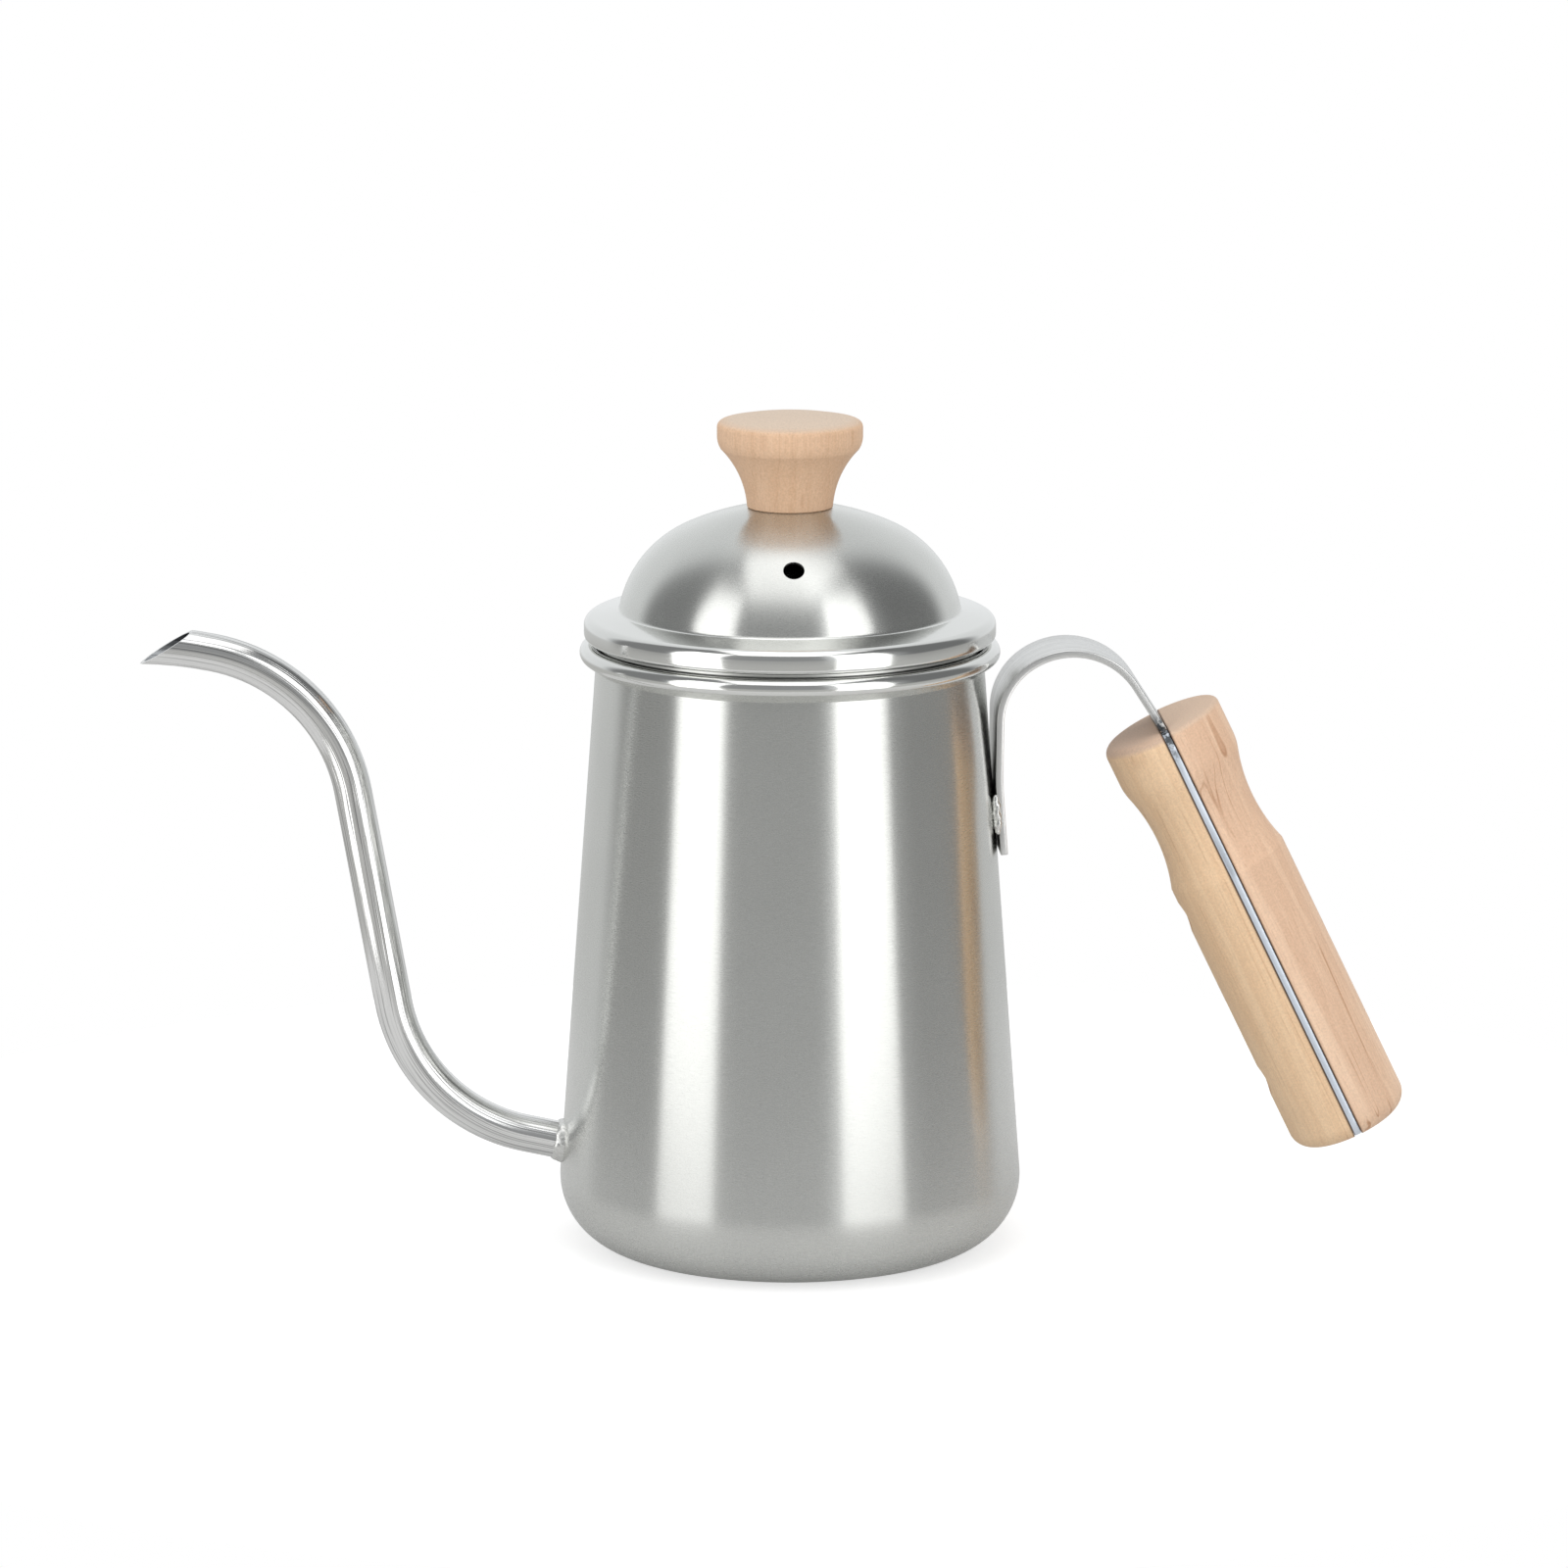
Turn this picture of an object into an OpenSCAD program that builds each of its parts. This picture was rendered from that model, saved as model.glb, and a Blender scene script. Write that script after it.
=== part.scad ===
// Gooseneck pour-over kettle: tapered steel pot with a swan-neck spout, a turned wooden grip
// on a bent steel strap, and a domed lid that lifts straight off. Millimetres, +Z up.
// The origin is the centre of the pot's flat underside. The spout points to -X, the grip to +X.

/* [Pot] */
// Widest outside diameter of the pot, just above its base corner
pot_d = 95; // [90:0.5:100]
// Outside radius of the corner between base and wall
base_corner = 14.5; // [11:0.5:16]
// Lean of the wall towards the mouth, degrees from the vertical
wall_lean = 4.2; // [3:0.1:5]
// Height at which the wall turns out into the rim
wall_top = 120.8; // [117:0.2:123]
// Thickness of the pot's sheet steel
pot_sheet = 0.6; // [0.5:0.05:0.8]
// Height of the weld seam between base pan and wall
seam_z = 16.2; // [15.8:0.1:17]
// Radius of the rolled bead round the mouth
bead_r = 1.9; // [1.5:0.1:2.2]
// Distance that the bead stands out from the wall
bead_overhang = 3.2; // [2.6:0.1:3.6]
// Height of the bead's centre above the turn of the wall
bead_rise = 3.2; // [2.8:0.1:4]

/* [Lid] */
// Distance that the lid's edge stands out past the middle of the bead
lid_overhang = 1; // [0.6:0.1:1.4]
// Thickness of the lid's sheet steel
lid_sheet = 0.6; // [0.5:0.05:0.8]
// Gap between the lid's seat and the top of the bead
seat_gap = 0.2; // [0.15:0.05:0.4]
// Width of the brim, from the dome's springing to the lid's edge
brim_w = 6.8; // [6.2:0.1:7.4]
// Height of the springing above the lid's seat
dome_spring = 2.8; // [2.5:0.1:3.1]
// Rise of the dome above its springing
dome_rise = 25.6; // [24:0.1:27]
// Radius of the dome's crown
crown_r = 52; // [48:0.5:56]
// Height above the lid's seat at which the dome meets the brim
brim_height = 6.7; // [6.3:0.1:7.2]
// Fall of the brim towards the edge, degrees
brim_fall = 12; // [8:1:16]
// Outside radius at the top of the lid's rolled edge
edge_roll = 2; // [1.6:0.1:2.2]
// Outside radius at the bottom of the rolled edge
edge_tuck = 1.2; // [0.9:0.1:1.4]
// Width of the hem that is turned in under the edge
edge_hem = 1.6; // [1.2:0.1:2]
// Diameter of the steam vent
vent_d = 4.3; // [3:0.1:5]
// Climb of the vent's axis through the shoulder of the dome, degrees
vent_climb = 47; // [42:1:52]
// Turn of the vent round the lid, degrees from +X
vent_turn = -92; // [-120:1:-60]
// Depth of the ring that locates the lid in the mouth
skirt_depth = 9; // [6:0.5:12]
// Radial gap between the ring and the mouth
skirt_gap = 0.5; // [0.4:0.05:0.8]

/* [Knob] */
// Largest diameter of the turned knob
knob_d = 29.7; // [27:0.1:32]
// Diameter of the knob's foot
knob_foot_d = 17.4; // [16:0.1:19]
// Height of the knob's flare above the top of the dome
knob_flare_h = 11.1; // [10:0.1:12]
// Radius of the concave flare
knob_flare_r = 19; // [17:0.5:22]
// Depth below the top of the dome at which the flare springs
knob_flare_sink = 1.9; // [1.5:0.1:2.3]
// Radius of the band's lower curve
knob_band_r = 5; // [4:0.25:6]
// Angle over which the band's lower curve runs
knob_band_turn = 35; // [30:1:38]
// Height of the straight part of the band
knob_band_h = 1.8; // [1.4:0.1:2.4]
// Radius of the shoulder between band and top
knob_shoulder = 1.3; // [1:0.1:1.8]
// Rise of the knob's softly domed top
knob_crown = 0.9; // [0.6:0.1:1.2]
// Gap between the knob's foot and the dome
knob_gap = 0.05; // [0.02:0.01:0.1]

/* [Spout] */
// Outside diameter of the spout tube
spout_d = 7.7; // [7:0.1:8.2]
// Wall thickness of the spout tube
spout_wall = 0.6; // [0.4:0.05:0.8]
// Height at which the tube's axis crosses the outside of the pot
spout_root_z = 21.8; // [21.6:0.1:26]
// Climb of the tube where it leaves the pot, degrees
spout_root_climb = 12.3; // [8:0.1:15]
// Length of tube that stands inside the pot
spout_inside = 2.2; // [2:0.1:3]
// Straight length of tube between the pot and the first bend
spout_root_l = 7.6; // [5:0.1:10]
// Turn of the first bend, degrees
spout_low_turn = 67.7; // [64:0.1:70]
// Radius of the first bend
spout_low_r = 35.2; // [32:0.1:38]
// Length of the straight rise
spout_rise_l = 44.9; // [40:0.1:50]
// Turn of the upper bend, degrees
spout_high_turn = 68; // [65:0.1:71]
// Radius of the upper bend
spout_high_r = 36.1; // [33:0.1:39]
// Turn of the easy bend towards the tip, degrees
spout_tip_turn = 10.5; // [8:0.1:12]
// Radius of the easy bend
spout_tip_r = 81.5; // [75:0.5:90]
// Slope of the cut across the tip, degrees from the horizontal
spout_cut = 31.6; // [28:0.2:36]
// Height of the weld fillet where it meets the pot
spout_weld_leg = 0.9; // [0.6:0.1:1.3]
// Distance from the pot to the outer edge of the fillet's foot
spout_weld_face = 0.4; // [0.2:0.1:0.6]
// Length of the weld fillet along the tube
spout_weld_l = 2.6; // [2:0.1:3.5]

/* [Handle strap] */
// Thickness of the steel strap
strap_t = 1.5; // [1.3:0.05:1.8]
// Width of the steel strap
strap_w = 17.8; // [16:0.1:20]
// Height of the strap's lower end
tab_z = 82.6; // [80:0.2:84]
// Length of the tab that lies along the pot
tab_l = 12.8; // [12:0.1:14]
// Gap between tab and pot at the middle of the tab
tab_gap = 0.1; // [0.05:0.01:0.2]
// Bend that lifts the strap off the pot, degrees
leg_turn = 4.9; // [4:0.1:6]
// Radius of that bend
leg_r = 50; // [40:1:60]
// Straight length of the leg
leg_l = 10.6; // [10:0.1:12]
// Turn of the arch on the pot's side, degrees
arch_in_turn = 54; // [50:0.5:58]
// Radius of the arch on the pot's side
arch_in_r = 13.9; // [13.5:0.1:15]
// Turn of the arch on the grip's side, degrees
arch_out_turn = 92.6; // [90:0.2:95]
// Radius of the arch on the grip's side
arch_out_r = 15.4; // [15:0.1:17]
// Straight length between the arch and the grip
neck_l = 9.3; // [8:0.1:12]
// Bend where the strap enters the grip, degrees
neck_turn = 7; // [5:0.1:9]
// Radius of that bend
neck_r = 12; // [10:1:20]
// Corner radius of the strap's lower end
tab_corner = 1.5; // [1:0.1:3]
// Radius of one ripple of the welds beside the tab
bead_ripple_r = 1.2; // [1:0.1:1.4]
// Distance between ripples
ripple_step = 1.5; // [1.3:0.1:1.7]
// Number of ripples in one weld
ripple_n = 5; // [4:1:6]

/* [Grip] */
// Length of the wooden grip
grip_l = 94.8; // [90:0.2:100]
// Diameter of the grip below its ridge
grip_d = 25.2; // [24:0.1:26]
// Diameter of the collar at the grip's top
collar_d = 25.7; // [25.2:0.1:27]
// Diameter of the waist
waist_d = 21.75; // [21:0.1:22.5]
// Distance of the waist from the top
waist_at = 21.9; // [21:0.1:24]
// Radius of the waist's hollow
waist_r = 36; // [32:0.5:40]
// Radius of the blend between collar and waist
collar_blend = 12; // [8:0.5:14]
// Rounding of the grip's top edge
grip_top_round = 1.8; // [0.8:0.1:2.4]
// Rounding of the grip's bottom edge
grip_end_round = 4; // [3:0.1:5]
// Depth of the strap's edge below the wood
tang_inset = 0.15; // [0.1:0.05:0.4]
// Gap between each wooden half and the strap
tang_fit = 0.05; // [0.03:0.01:0.1]

/* [Fixings] */
// Distance of the upper grip screw from the top
screw_at = 39.3; // [37:0.1:41]
// Distance between the two grip screws
screw_pitch = 38.6; // [36:0.1:40]
// Shank diameter of the grip screws
screw_d = 3.5; // [3:0.1:4]
// Head diameter of the grip screws
screw_head_d = 6.2; // [5.8:0.1:6.6]
// Head height of the grip screws
screw_head_h = 2.2; // [1.8:0.1:2.6]
// Diameter of the hexagon socket across its corners
screw_socket_d = 3.2; // [2.6:0.1:3.4]
// Depth of the sockets
screw_socket_h = 1.2; // [0.8:0.1:1.4]
// Diameter of the recesses for the screw heads
recess_d = 7; // [6.8:0.1:7.6]
// Wood left under the screw heads
recess_floor = 5.4; // [4.5:0.1:6]
// Outside diameter of the threaded inserts
insert_d = 5.6; // [5:0.1:6]
// Length of the threaded inserts
insert_l = 7; // [6:0.5:8]
// Shank diameter of the knob's screw
knob_screw_d = 4; // [3.5:0.1:4.5]
// Head diameter of the knob's screw
knob_head_d = 8; // [7.4:0.1:8.4]
// Head height of the knob's screw
knob_head_h = 2.4; // [2:0.1:2.8]
// Outside diameter of the washer
washer_d = 11; // [10:0.5:12]
// Thickness of the washer
washer_t = 0.8; // [0.6:0.1:1]
// Gap round screws and inserts in their holes
hole_fit = 0.05; // [0.03:0.01:0.1]
// Depth of the blind holes in the wood past their inserts
hole_spare = 1; // [0.5:0.1:1.5]

/* [Hidden] */
$fn = 96;
fine = 360;
far = 400;
steel = [0.74, 0.75, 0.76];
bright_steel = [0.86, 0.87, 0.88];
beech = [0.86, 0.69, 0.52];
beech_dark = [0.84, 0.66, 0.53];
brass = [0.80, 0.65, 0.35];

// Pot: the wall is a cone tangent to the base corner
corner_x = pot_d / 2 - base_corner;
function wall_foot(t) = [corner_x + (base_corner - t) * cos(wall_lean),
                         base_corner + (base_corner - t) * sin(wall_lean)];
function wall_at(z, t = 0) = wall_foot(t)[0] - (z - wall_foot(t)[1]) * tan(wall_lean);
bead_c = [wall_at(wall_top) + bead_overhang - bead_r, wall_top + bead_rise];
bead_top = bead_c[1] + bead_r;
bead_reach = [bead_overhang - bead_r, bead_rise];
bead_flare = 90 - atan2(bead_reach[1], bead_reach[0]) + asin(bead_r / norm(bead_reach));
mouth_r = bead_c[0] - bead_r;

// Lid: heights from its seat on the bead
lid_r = bead_c[0] + lid_overhang;
dome_r = lid_r - brim_w;
seat_z = bead_top + seat_gap;
spring_z = seat_z + dome_spring;
crown_z = spring_z + dome_rise;
crown_c = crown_z - crown_r;
shoulder_r = (pow(crown_r, 2) - pow(dome_r, 2) - pow(crown_r - dome_rise, 2)) / (2 * (crown_r - dome_r));
shoulder_x = dome_r - shoulder_r;
brim_z = seat_z + brim_height;
brim_r = shoulder_x + sqrt(pow(shoulder_r, 2) - pow(brim_z - spring_z, 2));
roll_x = lid_r - edge_roll;
roll_z = brim_z - (roll_x - brim_r) * tan(brim_fall) - edge_roll / cos(brim_fall);
tuck_x = lid_r - edge_tuck;
hem_x = tuck_x - edge_hem;
hem_z = seat_z + lid_sheet + hole_fit;
skirt_r = mouth_r - skirt_gap;

// Knob: heights from the top of the dome
knob_r = knob_d / 2;
flare_c = [knob_foot_d / 2 + knob_flare_r, crown_z - knob_flare_sink];
flare_top = crown_z + knob_flare_h;
band_c = [knob_r - knob_band_r, flare_top + knob_band_r * sin(knob_band_turn)];
shoulder_c = [knob_r - knob_shoulder, band_c[1] + knob_band_h];
knob_top_r = (pow(shoulder_c[0], 2) + pow(knob_crown, 2)) / (2 * knob_crown);
knob_top_z = shoulder_c[1] + knob_shoulder + knob_crown;
knob_hole_top = crown_z + insert_l + hole_spare;

// Paths in the X-Z plane: a frame is [x, z, heading], a run is [length, turn, radius]
function along(f, s) = s[1] == 0
    ? [f[0] + s[0] * cos(f[2]), f[1] + s[0] * sin(f[2]), f[2]]
    : let (side = sign(s[1]) * s[2], h = f[2] + s[1])
      [f[0] + side * (sin(h) - sin(f[2])), f[1] - side * (cos(h) - cos(f[2])), h];
function after(f, runs, n) = n == 0 ? f : along(after(f, runs, n - 1), runs[n - 1]);

// Spout: from its end inside the pot to its tip
spout_r = spout_d / 2;
spout_bore = spout_r - spout_wall;
spout_in = 180 - spout_root_climb;
spout_cross = [-wall_at(spout_root_z), spout_root_z, spout_in];
spout_start = along(spout_cross, [-spout_inside, 0, 0]);
spout_runs = [[spout_inside + spout_root_l, 0, 0], [0, -spout_low_turn, spout_low_r], [spout_rise_l, 0, 0],
              [0, spout_high_turn, spout_high_r], [0, spout_tip_turn, spout_tip_r]];
spout_tip = after(spout_start, spout_runs, len(spout_runs));

// Strap: from its lower end on the pot to the top of the grip
tab_off = (tab_gap + strap_t / 2) / cos(wall_lean);
strap_start = [wall_at(tab_z) + tab_off, tab_z, 90 + wall_lean];
strap_runs = [[tab_l, 0, 0], [0, -leg_turn, leg_r], [leg_l, 0, 0], [0, -arch_in_turn, arch_in_r],
              [0, -arch_out_turn, arch_out_r], [neck_l, 0, 0], [0, -neck_turn, neck_r]];
grip_top = after(strap_start, strap_runs, len(strap_runs));

// Grip: distances down its axis from its top
grip_r = grip_d / 2;
collar_r = collar_d / 2;
waist_c = waist_d / 2 + waist_r;
blend_c = waist_at - sqrt(pow(waist_r + collar_blend, 2) - pow(waist_c - collar_r + collar_blend, 2));
blend_end = blend_c + collar_blend * (waist_at - blend_c) / (waist_r + collar_blend);
head_seat = strap_t / 2 + tang_fit + recess_floor;
weld_fit = 0.03;
past = 1;
lap = 0.05;
step_up = 0.02;
tang_t = strap_t + step_up;
tang_neck = strap_w + step_up;

module ring_of(r_out, r_in, h) {
    difference() {
        cylinder(r = r_out, h = h);
        translate([0, 0, -past]) cylinder(r = r_in, h = h + 2 * past);
    }
}

// Stands children up along the path frame: their +Z along its heading, their Y along Y
module on_frame(f) {
    translate([f[0], 0, f[1]]) rotate([0, 90 - f[2], 0]) children();
}

// Sweeps a flat section along a run that starts at frame f, and by lap past both its ends
module swept(f, s) {
    if (s[1] == 0) {
        on_frame(f) translate([0, 0, -lap]) linear_extrude(s[0] + 2 * lap) children();
    } else {
        side = sign(s[1]) * s[2];
        over = lap / s[2] * 180 / PI;
        first = (s[1] > 0 ? f[2] - 90 : f[2] + 90 + s[1]) - over;
        translate([f[0] - side * sin(f[2]), 0, f[1] + side * cos(f[2])])
            rotate([0, -first, 0]) rotate([90, 0, 0])
                rotate_extrude(angle = abs(s[1]) + 2 * over) translate([s[2], 0]) children();
    }
}

// Sweeps a round section along the runs; every second run is a hair fuller, so that they join
module sweep_round(f, runs, r) {
    for (i = [0 : len(runs) - 1]) swept(after(f, runs, i), runs[i]) circle(r + step_up * (i % 2));
}

// Sweeps a flat bar's section in the same way
module sweep_flat(f, runs, t, w) {
    for (i = [0 : len(runs) - 1]) swept(after(f, runs, i), runs[i])
        square([t + step_up * (i % 2), w + step_up * (i % 2)], center = true);
}

// Everything inside the pot's wall, moved out by t
module inside_wall(t) {
    z = wall_foot(0)[1];
    translate([0, 0, z])
        cylinder(r1 = wall_at(z, -t), r2 = wall_at(wall_top, -t), h = wall_top - z, $fn = fine);
}

// Half section of everything inside the pot's outside, moved in by t
module pot_section(t) {
    foot = wall_foot(t);
    union() {
        polygon([[0, t], [corner_x, t], [corner_x, base_corner], foot,
                 [wall_at(wall_top, t), wall_top], [0, wall_top]]);
        translate([corner_x, base_corner]) circle(base_corner - t);
    }
}

module pot_sheet_section() {
    difference() {
        pot_section(0);
        pot_section(pot_sheet);
    }
}

module rim_section() {
    flare = [bead_c[0] + bead_r * cos(bead_flare), bead_c[1] - bead_r * sin(bead_flare)];
    union() {
        translate(bead_c) circle(bead_r);
        polygon([[wall_at(wall_top, pot_sheet), wall_top], [wall_at(wall_top), wall_top],
                 flare, bead_c, [mouth_r, bead_c[1]]]);
    }
}

module pot_shell() {
    color(steel) difference() {
        rotate_extrude() union() {
            intersection() {
                pot_sheet_section();
                translate([0, seam_z]) square(far);
            }
            rim_section();
        }
        on_frame(along(spout_start, [-spout_d, 0, 0]))
            cylinder(r = spout_r + hole_fit, h = spout_d + 2 * spout_inside + spout_r);
    }
}

module base_pan() {
    color(steel) rotate_extrude() intersection() {
        pot_sheet_section();
        square([far, seam_z]);
    }
}

module spout_tube() {
    lip = along([spout_tip[0], spout_tip[1], spout_tip[2] + 90], [spout_r, 0, 0]);
    color(bright_steel) difference() {
        sweep_round(spout_start, spout_runs, spout_r);
        sweep_round(spout_start, spout_runs, spout_bore);
        translate([lip[0], 0, lip[1]]) rotate([0, -spout_cut, 0])
            translate([-spout_d, -spout_d, 0]) cube([6 * spout_d, 2 * spout_d, 2 * spout_d]);
    }
}

module spout_weld() {
    inner = spout_r + weld_fit;
    color(bright_steel) difference() {
        on_frame(spout_start) rotate_extrude()
            polygon([[inner, 0], [inner + spout_weld_leg, 0],
                     [inner + spout_weld_leg, spout_inside + spout_weld_face],
                     [inner, spout_inside + spout_weld_l]]);
        inside_wall(weld_fit);
    }
}

// Half section of the grip, its axis up and its top at zero, moved in by t
module grip_section(t) {
    difference() {
        union() {
            translate([0, -blend_c]) square([collar_r - t, blend_c - grip_top_round]);
            translate([0, -grip_top_round]) square([collar_r - grip_top_round, grip_top_round - t]);
            translate([collar_r - grip_top_round, -grip_top_round]) circle(grip_top_round - t);
            intersection() {
                translate([collar_r - collar_blend, -blend_c]) circle(collar_blend - t);
                translate([0, -blend_end]) square([collar_r, blend_end - blend_c]);
            }
            translate([0, grip_end_round - grip_l])
                square([grip_r - t, grip_l - blend_end - grip_end_round]);
            translate([0, t - grip_l]) square([grip_r - grip_end_round, grip_end_round]);
            translate([grip_r - grip_end_round, grip_end_round - grip_l]) circle(grip_end_round - t);
        }
        intersection() {
            translate([waist_c, -waist_at]) circle(waist_r + t);
            translate([0, -grip_l]) square([far, grip_l - blend_end]);
        }
        translate([-far, -far]) square([far, 2 * far]);
    }
}

// Stands the grip's own frame on the strap: +Z up the grip's axis, +X away from the pot
module on_grip() {
    translate([grip_top[0], 0, grip_top[1]]) rotate([0, -90 - grip_top[2], 0]) children();
}

// Places children at both grip screws, with +Z pointing out towards the pot
module at_screws() {
    for (d = [screw_at, screw_at + screw_pitch])
        translate([0, 0, -d]) rotate([0, -90, 0]) children();
}

module handle_strap() {
    color(steel) difference() {
        union() {
            sweep_flat(strap_start, strap_runs, strap_t, strap_w);
            on_grip() intersection() {
                rotate_extrude() grip_section(tang_inset);
                translate([-tang_t / 2, -collar_d, -grip_l]) cube([tang_t, 2 * collar_d, grip_l]);
            }
            on_grip() translate([-tang_t / 2, -tang_neck / 2, -strap_t])
                cube([tang_t, tang_neck, strap_t + lap]);
        }
        on_grip() at_screws() translate([0, 0, -strap_t])
            cylinder(r = screw_d / 2 + hole_fit, h = 2 * strap_t);
        on_frame(strap_start) for (side = [-1, 1]) translate([0, side * strap_w / 2, 0])
            rotate([0, 90, 0]) mirror([0, side > 0 ? 1 : 0, 0]) tab_corner_cut();
    }
}

// What the rounding takes off one lower corner of the strap
module tab_corner_cut() {
    translate([0, 0, -strap_t]) linear_extrude(2 * strap_t) difference() {
        translate([-tab_corner, -past]) square([tab_corner + past, tab_corner + past]);
        translate([-tab_corner, tab_corner]) circle(tab_corner);
    }
}

module handle_welds() {
    weld_l = (ripple_n - 1) * ripple_step;
    first = along(strap_start, [tab_l - weld_l + strap_t / 2, 0, 0]);
    color(bright_steel) difference() {
        for (side = [-1, 1]) on_frame(first) for (i = [0 : ripple_n - 1])
            translate([strap_t / 2 - bead_ripple_r / 2, side * strap_w / 2, i * ripple_step])
                mirror([1, 0, 0]) sphere(bead_ripple_r);
        inside_wall(weld_fit);
        on_frame(strap_start) translate([-strap_t / 2 - weld_fit, -strap_w / 2 - weld_fit, 0])
            cube([strap_t + 2 * weld_fit, strap_w + 2 * weld_fit, 2 * tab_l]);
    }
}

module grip_half(side) {
    intersection() {
        rotate_extrude() grip_section(0);
        translate([side > 0 ? strap_t / 2 + tang_fit : -far - strap_t / 2 - tang_fit, -far, -far])
            cube([far, 2 * far, 2 * far]);
    }
}

module grip_inner_half() {
    color(beech) on_grip() difference() {
        grip_half(-1);
        at_screws() {
            cylinder(r = screw_d / 2 + hole_fit, h = grip_d);
            translate([0, 0, head_seat]) cylinder(r = recess_d / 2, h = grip_d);
        }
    }
}

module grip_outer_half() {
    color(beech_dark) on_grip() difference() {
        grip_half(1);
        at_screws() translate([0, 0, -strap_t / 2 - tang_fit - insert_l - hole_spare])
            cylinder(r = insert_d / 2 + hole_fit, h = insert_l + 2 * hole_spare);
    }
}

module grip_screws() {
    color(steel) on_grip() at_screws() difference() {
        union() {
            translate([0, 0, head_seat + hole_fit]) cylinder(r = screw_head_d / 2, h = screw_head_h);
            translate([0, 0, -strap_t / 2 - insert_l])
                cylinder(r = screw_d / 2, h = head_seat + strap_t / 2 + insert_l + screw_head_h / 2);
        }
        translate([0, 0, head_seat + screw_head_h - screw_socket_h])
            cylinder(d = screw_socket_d, h = screw_head_h, $fn = 6);
    }
}

module grip_inserts() {
    color(brass) on_grip() at_screws()
        translate([0, 0, -strap_t / 2 - 2 * tang_fit - insert_l])
            ring_of(insert_d / 2, screw_d / 2 + hole_fit, insert_l);
}

// Half section of everything inside the lid's outside, moved in by t
module lid_section(t) {
    roll = [roll_x + (edge_roll - t) * sin(brim_fall), roll_z + (edge_roll - t) * cos(brim_fall)];
    inboard = [brim_r - edge_roll, brim_z + edge_roll * tan(brim_fall) - t / cos(brim_fall)];
    union() {
        intersection() {
            translate([0, crown_c]) circle(crown_r - t);
            polygon([[0, spring_z], [shoulder_x, spring_z],
                     [shoulder_x * far / (crown_r - dome_rise), crown_c + far], [0, crown_c + far]]);
        }
        intersection() {
            translate([shoulder_x, spring_z]) circle(shoulder_r - t);
            translate([shoulder_x, spring_z]) square(shoulder_r);
        }
        polygon([[0, hem_z + t], [tuck_x, hem_z + t], [tuck_x, hem_z + edge_tuck],
                 [lid_r - t, hem_z + edge_tuck], [lid_r - t, roll_z], [roll_x, roll_z],
                 roll, inboard, [0, inboard[1]]]);
        translate([tuck_x, hem_z + edge_tuck]) circle(edge_tuck - t);
        translate([roll_x, roll_z]) circle(edge_roll - t);
    }
}

module lid_shell() {
    color(steel) difference() {
        rotate_extrude() intersection() {
            difference() {
                lid_section(0);
                lid_section(lid_sheet);
                translate([0, hem_z - past]) square([hem_x, lid_sheet + 2 * past]);
            }
            square(far);
        }
        translate([0, 0, crown_c]) cylinder(r = knob_screw_d / 2 + hole_fit, h = far);
        rotate([0, 0, vent_turn]) translate([shoulder_x, 0, spring_z]) rotate([0, 90 - vent_climb, 0])
            cylinder(r = vent_d / 2, h = 2 * shoulder_r);
    }
}

module lid_skirt() {
    flange_r = (hem_x + tuck_x) / 2;
    color(bright_steel) rotate_extrude() {
        translate([skirt_r - lid_sheet, seat_z]) square([flange_r - skirt_r + lid_sheet, lid_sheet]);
        translate([skirt_r - lid_sheet, seat_z - skirt_depth]) square([lid_sheet, skirt_depth]);
    }
}

// Half section of the knob
module knob_section() {
    union() {
        difference() {
            translate([0, flare_c[1]]) square([flare_c[0], flare_top - flare_c[1]]);
            translate(flare_c) circle(knob_flare_r);
        }
        intersection() {
            translate(band_c) circle(knob_band_r);
            translate([0, flare_top]) square([knob_r, band_c[1] - flare_top]);
        }
        translate([0, flare_c[1]]) square([knob_foot_d / 2, shoulder_c[1] - flare_c[1]]);
        translate([0, flare_top]) square([band_c[0], band_c[1] - flare_top]);
        translate([0, band_c[1]]) square([knob_r, knob_band_h]);
        translate(shoulder_c) circle(knob_shoulder);
        intersection() {
            translate([0, knob_top_z - knob_top_r]) circle(knob_top_r);
            translate([0, shoulder_c[1]]) square([shoulder_c[0], 2 * knob_shoulder]);
        }
    }
}

module knob() {
    color(beech) difference() {
        rotate_extrude() knob_section();
        translate([0, 0, crown_c]) sphere(crown_r + knob_gap);
        cylinder(r = insert_d / 2 + hole_fit, h = knob_hole_top);
    }
}

module knob_insert() {
    color(brass) translate([0, 0, crown_z + knob_gap + hole_fit])
        ring_of(insert_d / 2, knob_screw_d / 2 + hole_fit, insert_l);
}

// Underside of the dome's top, where the washer seats
washer_top = crown_c + sqrt(pow(crown_r - lid_sheet, 2) - pow(washer_d / 2, 2)) - hole_fit;

module knob_washer() {
    color(bright_steel) translate([0, 0, washer_top - washer_t])
        ring_of(washer_d / 2, knob_screw_d / 2 + hole_fit, washer_t);
}

module knob_screw() {
    head_top = washer_top - washer_t - hole_fit;
    screw_tip = knob_hole_top - 2 * hole_spare;
    color(steel) difference() {
        union() {
            translate([0, 0, head_top - knob_head_h]) cylinder(r = knob_head_d / 2, h = knob_head_h);
            translate([0, 0, head_top - knob_head_h / 2])
                cylinder(r = knob_screw_d / 2, h = screw_tip - head_top + knob_head_h / 2);
        }
        translate([0, 0, head_top - 2 * knob_head_h])
            cylinder(d = screw_socket_d, h = knob_head_h + screw_socket_h, $fn = 6);
    }
}

pot_shell();
base_pan();
spout_tube();
spout_weld();
handle_strap();
handle_welds();
grip_inner_half();
grip_outer_half();
grip_screws();
grip_inserts();
lid_shell();
lid_skirt();
knob();
knob_insert();
knob_screw();
knob_washer();
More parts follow.
